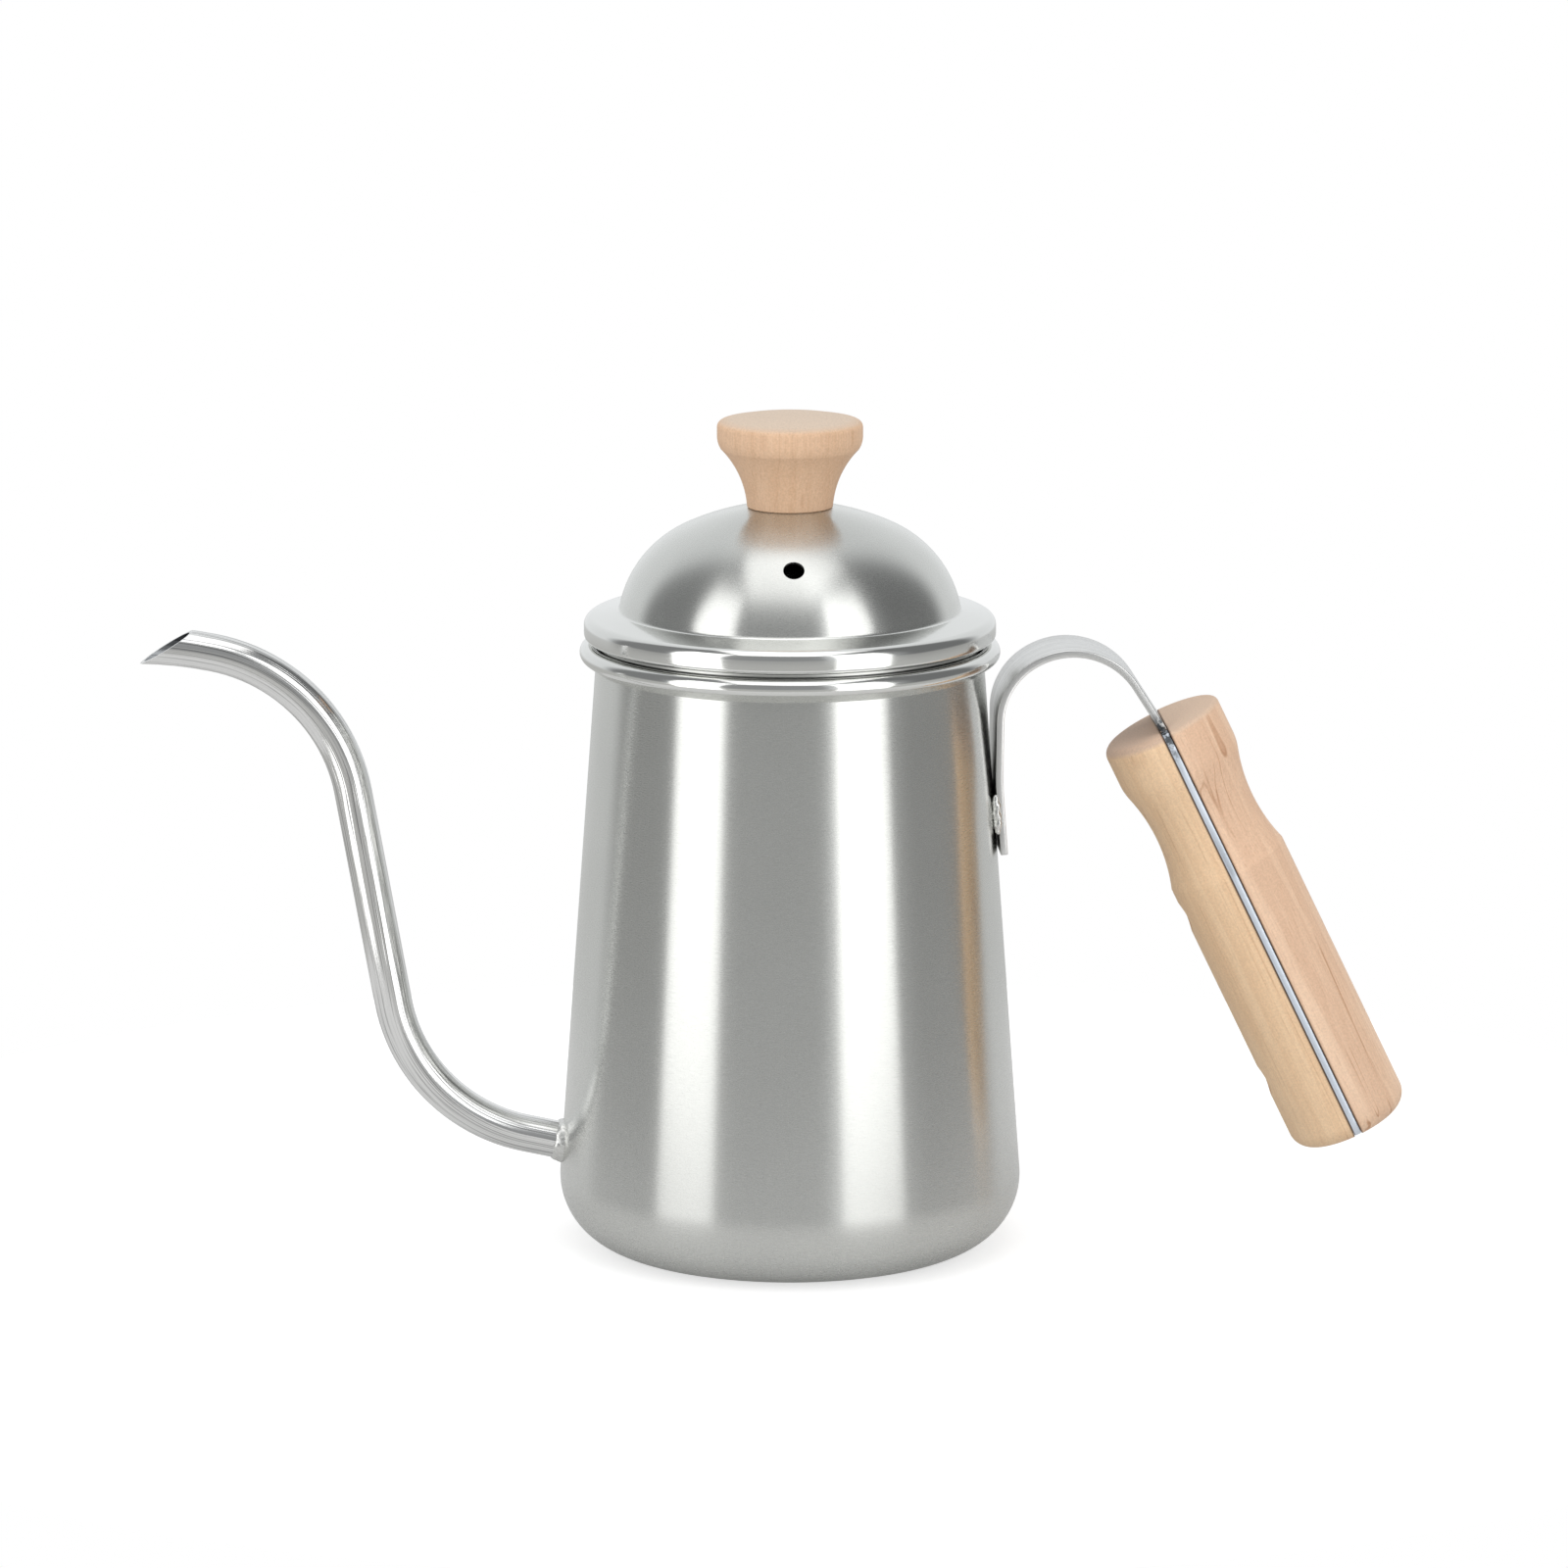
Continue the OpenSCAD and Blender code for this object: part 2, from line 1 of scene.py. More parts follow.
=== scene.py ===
from math import asin, atan2, cos, degrees, hypot, pi, radians, sin, sqrt, tan

import bmesh
import bpy
from mathutils import Matrix, Vector, noise


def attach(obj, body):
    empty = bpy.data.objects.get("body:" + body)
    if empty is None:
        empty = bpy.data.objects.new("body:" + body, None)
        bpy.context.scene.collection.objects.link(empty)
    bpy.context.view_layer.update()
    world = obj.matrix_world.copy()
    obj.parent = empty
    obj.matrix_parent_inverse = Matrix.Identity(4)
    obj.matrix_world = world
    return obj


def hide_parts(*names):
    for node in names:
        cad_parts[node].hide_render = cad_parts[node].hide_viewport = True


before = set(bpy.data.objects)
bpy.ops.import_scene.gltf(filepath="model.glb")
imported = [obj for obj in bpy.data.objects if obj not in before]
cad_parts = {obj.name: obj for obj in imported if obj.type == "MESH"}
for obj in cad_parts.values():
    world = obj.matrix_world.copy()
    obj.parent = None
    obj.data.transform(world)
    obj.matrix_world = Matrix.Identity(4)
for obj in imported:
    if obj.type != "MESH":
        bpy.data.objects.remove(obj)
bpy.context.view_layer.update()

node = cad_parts
mm = 0.001


# --- Studio ---------------------------------------------------------------------------------------
# The kettle stands on a round white table top. Two tall softboxes stand before it, one to each side,
# a third hangs overhead, and the room is grey in front and white behind.
scene = bpy.context.scene
scene.view_settings.view_transform = "Standard"

view_turn = radians(3.54)
view_climb = radians(11.57)
view_distance = 1700 * mm
view_height = 96.2 * mm
view_aside = -1.22 * mm
lens_length = 190.53
view_back = Vector((-sin(view_turn) * cos(view_climb), -cos(view_turn) * cos(view_climb), sin(view_climb)))
view_right = Vector((cos(view_turn), -sin(view_turn), 0))
camera = bpy.data.objects.new("camera", bpy.data.cameras.new("camera"))
camera.data.sensor_width = 36
camera.data.lens = lens_length
camera.location = Vector((0, 0, view_height)) + view_back * view_distance + view_right * view_aside
camera.rotation_mode = "QUATERNION"
camera.rotation_quaternion = (-view_back).to_track_quat("-Z", "Y")
scene.collection.objects.link(camera)
scene.camera = camera


def softbox(name, place, target, width, height, brightness):
    """A flat lamp that faces the target.

    Brightness is what a mirror would show of it: a quarter of its watts per square metre.
    """
    lamp = bpy.data.lights.new(name, "AREA")
    lamp.shape = "RECTANGLE"
    lamp.size = width
    lamp.size_y = height
    lamp.energy = brightness * 4 * width * height
    lamp_object = bpy.data.objects.new(name, lamp)
    lamp_object.location = place
    lamp_object.rotation_mode = "QUATERNION"
    lamp_object.rotation_quaternion = (Vector(target) - Vector(place)).to_track_quat("-Z", "Y")
    lamp_object.visible_camera = False
    scene.collection.objects.link(lamp_object)


def round_the_table(azimuth, distance, height):
    """A place at that azimuth from the camera's side, positive towards the grip."""
    turn = radians(azimuth)
    return (distance * sin(turn), -distance * cos(turn), height)


def add(tree, kind, settings=None, **values):
    """A node with its settings and socket values; a value that is a socket is linked instead.

    A socket is named with underscores for its spaces, or numbered as i0, i1 and so on.
    """
    made = tree.nodes.new(kind)
    for key, value in (settings or {}).items():
        setattr(made, key, value)
    for key, value in values.items():
        numbered = key[0] == "i" and key[1:].isdigit()
        socket = made.inputs[int(key[1:]) if numbered else key.replace("_", " ")]
        if isinstance(value, bpy.types.NodeSocket):
            tree.links.new(value, socket)
        else:
            socket.default_value = value
    return made


front_height = 0.45
front_distance = 1.3
for name, aside, width, brightness in (("softbox_left", -56.5, 0.70, 1.17), ("softbox_right", 38, 0.74, 1.13)):
    softbox(name, round_the_table(aside, front_distance, front_height), (0, 0, front_height), width,
            height=2.2, brightness=brightness)
softbox("softbox_top", (-0.06, -0.45, 1.5), (0, -0.2, 0), width=1.15, height=1.5, brightness=0.92)

# The room's grey by azimuth, as the steel mirrors it; below the horizon it runs into the floor's grey.
room_stops = [(-180, 0.90), (-129, 0.82), (-113, 0.24), (-78, 0.235), (-70, 0.29), (-22, 0.31), (14, 0.31),
              (19, 0.62), (60, 0.30), (70, 0.19), (110, 0.19), (130, 0.82), (180, 0.90)]
room_tint = (0.98, 1.0, 1.015)
floor_grey = (0.52, 0.52, 0.51, 1)
fill_grey = (0.62, 0.62, 0.62, 1)
world = bpy.data.worlds.new("studio")
world.use_nodes = True
scene.world = world
tree = world.node_tree
direction = add(tree, "ShaderNodeTexCoord")
parts = add(tree, "ShaderNodeSeparateXYZ", i0=direction.outputs["Generated"])
forward = add(tree, "ShaderNodeMath", {"operation": "MULTIPLY"}, i0=parts.outputs["Y"], i1=-1.0)
azimuth = add(tree, "ShaderNodeMath", {"operation": "ARCTAN2"}, i0=parts.outputs["X"], i1=forward.outputs[0])
round_room = add(tree, "ShaderNodeMapRange", Value=azimuth.outputs[0], From_Min=-pi, From_Max=pi)
room = add(tree, "ShaderNodeValToRGB", Fac=round_room.outputs[0])
room.color_ramp.interpolation = "EASE"
for stop, (turn, shade) in enumerate(room_stops):
    at = (turn + 180) / 360
    if 0 < stop < len(room_stops) - 1:
        element = room.color_ramp.elements.new(at)
    else:
        element = room.color_ramp.elements[0 if stop == 0 else -1]
        element.position = at
    element.color = (*[shade * share for share in room_tint], 1)
below = add(tree, "ShaderNodeMapRange", {"interpolation_type": "SMOOTHSTEP"}, Value=parts.outputs["Z"],
            From_Min=-0.02, From_Max=-0.25)
room_floor = add(tree, "ShaderNodeMix", {"data_type": "RGBA"}, Factor=below.outputs[0], A=room.outputs["Color"],
                 B=floor_grey)
rays = add(tree, "ShaderNodeLightPath")
fill = add(tree, "ShaderNodeMix", {"data_type": "RGBA"}, Factor=rays.outputs["Is Diffuse Ray"],
           A=room_floor.outputs["Result"], B=fill_grey)
seen = add(tree, "ShaderNodeMix", {"data_type": "RGBA"}, Factor=rays.outputs["Is Camera Ray"],
           A=fill.outputs["Result"], B=(1, 1, 1, 1))
tree.links.new(seen.outputs["Result"], tree.nodes["Background"].inputs["Color"])

# The table's own glow turns its grey white to the camera, and pale where steel mirrors it.
table_r = 0.24
table_drop = 0.02 * mm
table_shown = 0.62
table_mirrored = 0.13
table = bmesh.new()
bmesh.ops.create_circle(table, cap_ends=True, segments=96, radius=table_r)
bmesh.ops.translate(table, vec=(0, 0, -table_drop), verts=table.verts)
table_mesh = bpy.data.meshes.new("table_top")
table.to_mesh(table_mesh)
table.free()
table_top = bpy.data.objects.new("table_top", table_mesh)
scene.collection.objects.link(table_top)
table_paint = bpy.data.materials.new("table_white")
table_paint.use_nodes = True
tree = table_paint.node_tree
tree.nodes.clear()
paint = add(tree, "ShaderNodeBsdfDiffuse", Color=(0.6, 0.6, 0.6, 1))
rays = add(tree, "ShaderNodeLightPath")
shown = add(tree, "ShaderNodeMath", {"operation": "MULTIPLY"}, i0=rays.outputs["Is Camera Ray"], i1=table_shown)
mirrored = add(tree, "ShaderNodeMath", {"operation": "MULTIPLY_ADD"}, i0=rays.outputs["Is Glossy Ray"],
               i1=table_mirrored, i2=shown.outputs[0])
glow = add(tree, "ShaderNodeEmission", Strength=mirrored.outputs[0])
lit = add(tree, "ShaderNodeAddShader", i0=paint.outputs[0], i1=glow.outputs[0])
add(tree, "ShaderNodeOutputMaterial", Surface=lit.outputs[0])
table_mesh.materials.append(table_paint)


# --- Pot ------------------------------------------------------------------------------------------
# Wall and base pan are drawn from 0.6 mm stainless sheet, seam-welded low down and ground flush. The
# wall is brushed on a lathe, so its grain runs round it, and its mouth is flared into a polished bead.
def arc(x, z, radius, start, end, steps):
    """Points of an arc in the X-Z plane, from start to end in degrees."""
    turns = [radians(start + (end - start) * i / steps) for i in range(steps + 1)]
    return [(x + radius * cos(turn), z + radius * sin(turn)) for turn in turns]


def spun(points, closed=True, steps=144):
    """The outline of points, in millimetres, turned once round Z."""
    shape = bmesh.new()
    corners = [shape.verts.new((x, 0, z)) for x, z in points]
    pairs = list(zip(corners, corners[1:])) + ([(corners[-1], corners[0])] if closed else [])
    sides = [shape.edges.new(pair) for pair in pairs]
    bmesh.ops.spin(shape, geom=corners + sides, cent=(0, 0, 0), axis=(0, 0, 1), angle=2 * pi, steps=steps,
                   use_merge=True)
    bmesh.ops.remove_doubles(shape, verts=shape.verts, dist=0.002)
    bmesh.ops.recalc_face_normals(shape, faces=shape.faces)
    return shape


def piece(name, shape, place=None, crease=32):
    """A smooth-shaded object in metres from a bmesh in millimetres, at its place."""
    bmesh.ops.transform(shape, matrix=Matrix.Scale(mm, 4) @ (place or Matrix()), verts=shape.verts)
    mesh = bpy.data.meshes.new(name)
    shape.to_mesh(mesh)
    shape.free()
    mesh.shade_smooth()
    mesh.set_sharp_from_angle(angle=radians(crease))
    made = bpy.data.objects.new(name, mesh)
    scene.collection.objects.link(made)
    return made


def carved(made, cutter, crease=24):
    """Cuts the cutter's solid out of the piece and drops the cutter."""
    cut = made.modifiers.new("cut", "BOOLEAN")
    cut.object = cutter
    cut.solver = "EXACT"
    finished = bpy.data.meshes.new_from_object(made.evaluated_get(bpy.context.evaluated_depsgraph_get()))
    finished.set_sharp_from_angle(angle=radians(crease))
    made.modifiers.clear()
    old, made.data = made.data, finished
    finished.name = made.name
    bpy.data.meshes.remove(old)
    bpy.data.objects.remove(cutter)


sheet = 0.6
corner_x = 33.0
corner_r = 14.5
wall_lean = 4.2
wall_top = 120.8
wall_foot = corner_r * (1 + sin(radians(wall_lean)))
bead_r = 1.9
bead_z = 124.0
bead_overhang = 3.2
bead_out = bead_overhang - bead_r
bead_up = bead_z - wall_top


def wall_x(z):
    """The wall's outside radius at that height."""
    return corner_x + corner_r * cos(radians(wall_lean)) - (z - wall_foot) * tan(radians(wall_lean))


bead_x = wall_x(wall_top) + bead_out
flare = 90 - degrees(atan2(bead_up, bead_out)) + degrees(asin(bead_r / hypot(bead_up, bead_out)))
inside = sheet / cos(radians(wall_lean))
wall_rows = [wall_foot + 1, 30, 45, 60, 75, 90, 105, wall_top - 1]
pot_outline = [(0, 0), (corner_x - 1, 0)]
pot_outline += arc(corner_x, corner_r, corner_r, -90, wall_lean, 20)
pot_outline += [(wall_x(z), z) for z in wall_rows + [wall_top]]
pot_outline += arc(bead_x, bead_z, bead_r, -flare, 180, 30)
pot_outline += [(bead_x - bead_r, wall_top + 1)]
pot_outline += [(wall_x(z) - inside, z) for z in reversed(wall_rows)]
pot_outline += arc(corner_x, corner_r, corner_r - sheet, wall_lean, -90, 16)
pot_outline += [(0, sheet)]
pot = piece("pot", spun(pot_outline))
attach(pot, "pot")
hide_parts("pot_shell", "base_pan")


def group(name, inputs, outputs):
    """An empty shader node group with its input and output nodes."""
    tree = bpy.data.node_groups.new(name, "ShaderNodeTree")
    for label, kind, value in inputs:
        socket = tree.interface.new_socket(label, in_out="INPUT", socket_type=kind)
        if value is not None:
            socket.default_value = value
    for label, kind in outputs:
        tree.interface.new_socket(label, in_out="OUTPUT", socket_type=kind)
    return tree, tree.nodes.new("NodeGroupInput"), tree.nodes.new("NodeGroupOutput")


# Fine scratches that run round the Z axis, as a lathe's brush leaves them.
tree, given, result = group(
    "lathe_grain",
    [("Length", "NodeSocketFloat", 6.0), ("Fineness", "NodeSocketFloat", 9000.0)],
    [("Grain", "NodeSocketFloat"), ("Cloud", "NodeSocketFloat")])
coordinates = add(tree, "ShaderNodeTexCoord")
axes = add(tree, "ShaderNodeSeparateXYZ", i0=coordinates.outputs["Object"])
bearing = add(tree, "ShaderNodeMath", {"operation": "ARCTAN2"}, i0=axes.outputs["Y"], i1=axes.outputs["X"])
along_grain = add(tree, "ShaderNodeMath", {"operation": "MULTIPLY"}, i0=bearing.outputs[0],
                  i1=given.outputs["Length"])
level = add(tree, "ShaderNodeCombineXYZ", X=axes.outputs["X"], Y=axes.outputs["Y"])
from_axis = add(tree, "ShaderNodeVectorMath", {"operation": "LENGTH"}, i0=level.outputs[0])
slant = add(tree, "ShaderNodeMath", {"operation": "SUBTRACT"}, i0=axes.outputs["Z"], i1=from_axis.outputs["Value"])
across = add(tree, "ShaderNodeMath", {"operation": "MULTIPLY"}, i0=slant.outputs[0], i1=given.outputs["Fineness"])
stretched = add(tree, "ShaderNodeCombineXYZ", X=along_grain.outputs[0], Y=across.outputs[0])
scratches = add(tree, "ShaderNodeTexNoise", Vector=stretched.outputs[0], Scale=1.0, Detail=3.0, Roughness=0.65)
tree.links.new(scratches.outputs["Fac"], result.inputs["Grain"])
clouds = add(tree, "ShaderNodeTexNoise", Vector=coordinates.outputs["Object"], Scale=70.0, Detail=2.0)
tree.links.new(clouds.outputs["Fac"], result.inputs["Cloud"])
lathe_grain = tree


def steel(name, colour, roughness, spread, stretch, grain_depth, fineness, length=6.0):
    """Bare metal, brushed round Z.

    Spread is how far the grain varies the roughness, stretch how far it draws out the highlights, and
    grain_depth is in millimetres. A higher fineness gives closer lines, a higher length shorter ones.
    """
    material = bpy.data.materials.new(name)
    material.use_nodes = True
    tree = material.node_tree
    surface = tree.nodes["Principled BSDF"]
    surface.inputs["Metallic"].default_value = 1.0
    surface.inputs["Anisotropic"].default_value = stretch
    brush = add(tree, "ShaderNodeGroup", {"node_tree": lathe_grain}, Fineness=fineness, Length=length)
    gloss = add(tree, "ShaderNodeMapRange", Value=brush.outputs["Grain"], From_Min=0.3, From_Max=0.7,
                To_Min=roughness - spread, To_Max=roughness + spread)
    tree.links.new(gloss.outputs[0], surface.inputs["Roughness"])
    tone = add(tree, "ShaderNodeMix", {"data_type": "RGBA"}, Factor=brush.outputs["Cloud"],
               A=(*[value * 0.93 for value in colour], 1), B=(*colour, 1))
    tree.links.new(tone.outputs["Result"], surface.inputs["Base Color"])
    relief = add(tree, "ShaderNodeBump", Strength=1.0, Distance=grain_depth * mm, Height=brush.outputs["Grain"])
    tree.links.new(relief.outputs["Normal"], surface.inputs["Normal"])
    if stretch:
        surface.inputs["Anisotropic Rotation"].default_value = 0.25
        way = add(tree, "ShaderNodeTangent", {"direction_type": "RADIAL", "axis": "Z"})
        tree.links.new(way.outputs["Tangent"], surface.inputs["Tangent"])
    return material


satin = steel("satin_steel", (0.70, 0.705, 0.68), roughness=0.27, spread=0.05, stretch=0.9, grain_depth=0.0016,
              fineness=12000.0, length=18.0)
polished = steel("polished_steel", (0.80, 0.805, 0.785), roughness=0.12, spread=0.03, stretch=0.0,
                 grain_depth=0.002, fineness=4000.0)

# The wall and the base are satin, the bead is polished.
for metal in (satin, polished):
    pot.data.materials.append(metal)
for face in pot.data.polygons:
    if face.center.z > wall_top * mm:
        face.material_index = 1


# --- Spout ----------------------------------------------------------------------------------------
# A thin stainless tube, bent cold into a swan's neck and polished. It stands through the wall just
# above the base pan, is welded there all round, and its tip is cut on the slant to pour a thin stream.
def along(place, run):
    """The path frame (x, z, heading in degrees) at the end of a run (length, turn, radius)."""
    x, z, heading = place
    length, turn, radius = run
    if not turn:
        return x + length * cos(radians(heading)), z + length * sin(radians(heading)), heading
    side = radius if turn > 0 else -radius
    then = heading + turn
    return (x + side * (sin(radians(then)) - sin(radians(heading))),
            z - side * (cos(radians(then)) - cos(radians(heading))), then)


def on_path(place):
    """Stands local Z along the path and local Y along Y."""
    return Matrix.Translation((place[0], 0, place[1])) @ Matrix.Rotation(radians(90 - place[2]), 4, "Y")


def swept(shape, section, place, runs, step=3.0):
    """Draws the section's verts and edges along the runs, with a ring for every step degrees of a bend.

    It gives back the last section and place.
    """
    for run in runs:
        length, turn, radius = run
        x, z, heading = place
        if turn:
            side = radius if turn > 0 else -radius
            centre = (x - side * sin(radians(heading)), 0, z + side * cos(radians(heading)))
            made = bmesh.ops.spin(shape, geom=section, cent=centre, axis=(0, -1, 0), angle=radians(turn),
                                  steps=max(2, round(abs(turn) / step)))
        else:
            stride = Vector((cos(radians(heading)), 0, sin(radians(heading)))) * (length / 4)
            made = bmesh.ops.spin(shape, geom=section, dvec=stride, axis=(0, 1, 0), angle=0, steps=4)
        section = made["geom_last"]
        place = along(place, run)
    return section, place


spout_r = 3.85
spout_bore = 3.25
spout_climb = 12.3
spout_root_z = 21.8
spout_inside = 2.2
spout_hole_gap = 0.03
spout_root = (-wall_x(spout_root_z), spout_root_z, 180 - spout_climb)
drill = bmesh.new()
bmesh.ops.create_cone(drill, cap_ends=True, segments=64, radius1=spout_r + spout_hole_gap,
                      radius2=spout_r + spout_hole_gap, depth=12)
carved(pot, piece("spout_drill", drill, on_path(spout_root)))

# The root, the low bend, the rise, the high bend and the easy bend to the tip.
spout_start = along(spout_root, (-spout_inside, 0, 0))
spout_runs = [(spout_inside + 7.6, 0, 0), (0, -67.7, 35.2), (44.9, 0, 0), (0, 68.0, 36.1), (0, 10.5, 81.5)]
spout_slant = radians(31.6)
tube = bmesh.new()
around = tube.verts.layers.float_vector.new("around")
for radius in (spout_r, spout_bore):
    bmesh.ops.create_circle(tube, segments=56, radius=radius)
for vert in tube.verts:
    vert[around] = vert.co / spout_r
bmesh.ops.transform(tube, matrix=on_path(spout_start), verts=tube.verts)
rings, spout_tip = swept(tube, list(tube.verts) + list(tube.edges), spout_start, spout_runs)

# The tube's wall is closed at the root, and at the mouth once that is cut back from its lower lip. The cut
# is filled and not bridged, because a bridge between two loops in one slanted plane can come out crossed.
first = [edge for edge in tube.edges if edge.is_boundary and
         all((vert.co - Vector((spout_start[0], 0, spout_start[1]))).length < spout_r * 1.1 for vert in edge.verts)]
bmesh.ops.bridge_loops(tube, edges=first)
lip = along((spout_tip[0], spout_tip[1], spout_tip[2] + 90), (spout_r, 0, 0))
across_mouth = (-sin(spout_slant), 0, cos(spout_slant))
bmesh.ops.bisect_plane(tube, geom=list(tube.verts) + list(tube.edges) + list(tube.faces), dist=1e-4,
                       plane_co=(lip[0], 0, lip[1]), plane_no=across_mouth, clear_outer=True)
bmesh.ops.triangle_fill(tube, edges=[edge for edge in tube.edges if edge.is_boundary], use_beauty=True,
                        normal=across_mouth)
bmesh.ops.recalc_face_normals(tube, faces=tube.faces)

# The tube is polished outside; its bore is rougher and painted dark, as painted shade inside the tube.
bore_share = (1 + spout_bore / spout_r) / 2
for face in tube.faces:
    face.material_index = 1 if all(vert[around].length < bore_share for vert in face.verts) else 0
spout = piece("spout", tube)
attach(spout, "pot")
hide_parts("spout_tube")


def drawn_steel(name, colour, roughness, lines, streaks, depth):
    """Bare steel with fine lines drawn along it.

    The dark colour is partly streaks of the drawing and partly painted reflection of dark lines in the room.
    Lines is how dark they are, streaks gives the vector that they vary on, depth is in millimetres.
    """
    material = bpy.data.materials.new(name)
    material.use_nodes = True
    tree = material.node_tree
    surface = tree.nodes["Principled BSDF"]
    surface.inputs["Metallic"].default_value = 1.0
    across = streaks(tree)
    broad = add(tree, "ShaderNodeTexNoise", Vector=across, Scale=3.4, Detail=2.0, Roughness=0.6)
    fine = add(tree, "ShaderNodeTexNoise", Vector=across, Scale=13.0, Detail=2.0, Roughness=0.6)
    wave = add(tree, "ShaderNodeMath", {"operation": "MULTIPLY_ADD"}, i0=fine.outputs["Fac"], i1=0.3,
               i2=broad.outputs["Fac"])
    # Painted reflection: dark lines painted into the colour, partly streaks.
    reflected_dark_lines = add(tree, "ShaderNodeMapRange", Value=fine.outputs["Fac"], From_Min=0.51, From_Max=0.64,
                     To_Min=0.0, To_Max=lines)
    tone = add(tree, "ShaderNodeMix", {"data_type": "RGBA"}, Factor=reflected_dark_lines.outputs[0], A=(*colour, 1),
               B=(*[value * 0.3 for value in colour], 1))
    tree.links.new(tone.outputs["Result"], surface.inputs["Base Color"])
    gloss = add(tree, "ShaderNodeMapRange", Value=fine.outputs["Fac"], From_Min=0.3, From_Max=0.7,
                To_Min=roughness * 0.75, To_Max=roughness * 1.4)
    tree.links.new(gloss.outputs[0], surface.inputs["Roughness"])
    relief = add(tree, "ShaderNodeBump", Strength=1.0, Distance=depth * mm, Height=wave.outputs[0])
    tree.links.new(relief.outputs["Normal"], surface.inputs["Normal"])
    return material


def round_the_tube(tree):
    """Places round the tube's section, drifting slowly along it."""
    in_section = add(tree, "ShaderNodeAttribute", {"attribute_name": "around"})
    coordinates = add(tree, "ShaderNodeTexCoord")
    drift = add(tree, "ShaderNodeMapping", Vector=coordinates.outputs["Object"], Scale=(3.0, 3.0, 3.0))
    placed = add(tree, "ShaderNodeVectorMath", {"operation": "ADD"}, i0=in_section.outputs["Vector"],
                 i1=drift.outputs[0])
    return placed.outputs[0]


# The spout's dark lines are painted reflection; the bore's dark colour is painted shade inside the tube.
spout.data.materials.append(drawn_steel("spout_steel", (0.83, 0.83, 0.82), roughness=0.12, lines=0.7,
                                        streaks=round_the_tube, depth=0.16))
spout.data.materials.append(drawn_steel("spout_bore", (0.30, 0.31, 0.32), roughness=0.35, lines=0.7,
                                        streaks=round_the_tube, depth=0.1))


# --- Lid ------------------------------------------------------------------------------------------
# The lid is spun from the same sheet: a dome on a sloping brim, whose edge is rolled down over the
# pot's bead. A vent is drilled in the dome's shoulder, a quarter turn from spout and grip.
seat_gap = 0.2
seat_z = bead_z + bead_r + seat_gap
lid_overhang = 1.0
brim_w = 6.8
lid_r = bead_x + lid_overhang
dome_r = lid_r - brim_w
spring_z = seat_z + 2.8
dome_rise = 25.6
crown_r = 52.0
crown_z = spring_z + dome_rise - crown_r
shoulder_r = (crown_r ** 2 - dome_r ** 2 - (crown_r - dome_rise) ** 2) / (2 * (crown_r - dome_r))
shoulder_x = dome_r - shoulder_r
crown_meets = degrees(asin((spring_z - crown_z) / (crown_r - shoulder_r)))
brim_z = seat_z + 6.7
brim_meets = degrees(asin((brim_z - spring_z) / shoulder_r))
brim_r = shoulder_x + shoulder_r * cos(radians(brim_meets))
brim_fall = 12.0
edge_roll = 2.0
roll_x = lid_r - edge_roll
roll_z = brim_z - (roll_x - brim_r) * tan(radians(brim_fall)) - edge_roll / cos(radians(brim_fall))
edge_tuck = 1.2
edge_hem = 1.6
tuck_x = lid_r - edge_tuck
hem_x = tuck_x - edge_hem
hem_z = seat_z + sheet + 0.05

# The press leaves a small hollow where the dome runs out into the brim.
hollow_r = 0.9
fall = radians(brim_fall)
offset = Vector((brim_r - shoulder_x + hollow_r * sin(fall), brim_z - spring_z + hollow_r * cos(fall)))
down_brim = Vector((cos(fall), -sin(fall)))
lean_in = offset.dot(down_brim)
hollow = offset + down_brim * (sqrt(lean_in ** 2 - offset.length_squared + (shoulder_r + hollow_r) ** 2) - lean_in)
hollow_starts = degrees(atan2(hollow.y, hollow.x))
lid_outline = arc(0, crown_z, crown_r, 90, crown_meets, 18)
lid_outline += arc(shoulder_x, spring_z, shoulder_r, crown_meets, hollow_starts, 20)[1:]
lid_outline += arc(shoulder_x + hollow.x, spring_z + hollow.y, hollow_r, 180 + hollow_starts, 270 - brim_fall, 6)[1:]
lid_outline += arc(roll_x, roll_z, edge_roll, 90 - brim_fall, 0, 12)
lid_outline += arc(tuck_x, hem_z + edge_tuck, edge_tuck, 0, -90, 10)
lid_outline += [(hem_x, hem_z), (hem_x, hem_z + sheet)]
lid_outline += arc(tuck_x, hem_z + edge_tuck, edge_tuck - sheet, -90, 0, 6)
lid_outline += arc(roll_x, roll_z, edge_roll - sheet, 0, 90 - brim_fall, 8)
lid_outline += arc(shoulder_x, spring_z, shoulder_r - sheet, brim_meets, crown_meets, 14)
lid_outline += arc(0, crown_z, crown_r - sheet, crown_meets, 90, 14)[1:]
lid = piece("lid", spun(lid_outline))
vent_r = 2.15
vent_climb = 47
vent_turn = -92
vent = bmesh.new()
bmesh.ops.create_cone(vent, cap_ends=True, segments=48, radius1=vent_r, radius2=vent_r, depth=20)
vent_place = Matrix.Rotation(radians(vent_turn), 4, "Z") @ Matrix.Translation((shoulder_x, 0, spring_z)) \
    @ Matrix.Rotation(radians(90 - vent_climb), 4, "Y") @ Matrix.Translation((0, 0, shoulder_r))
carved(lid, piece("vent_drill", vent, vent_place))
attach(lid, "lid")
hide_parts("lid_shell")

# The dome is satin and the brim is polished.
lid.data.materials.clear()
for metal in (satin, polished):
    lid.data.materials.append(metal)
for face in lid.data.polygons:
    if face.center.xy.length > (brim_r + 0.1) * mm:
        face.material_index = 1

# The ring under the brim is left matt, as it comes from the press.
matt = steel("skirt_steel", (0.70, 0.705, 0.68), roughness=0.32, spread=0.05, stretch=0.0, grain_depth=0.002,
             fineness=9000.0, length=18.0)
node["lid_skirt"].data.materials.clear()
node["lid_skirt"].data.materials.append(matt)


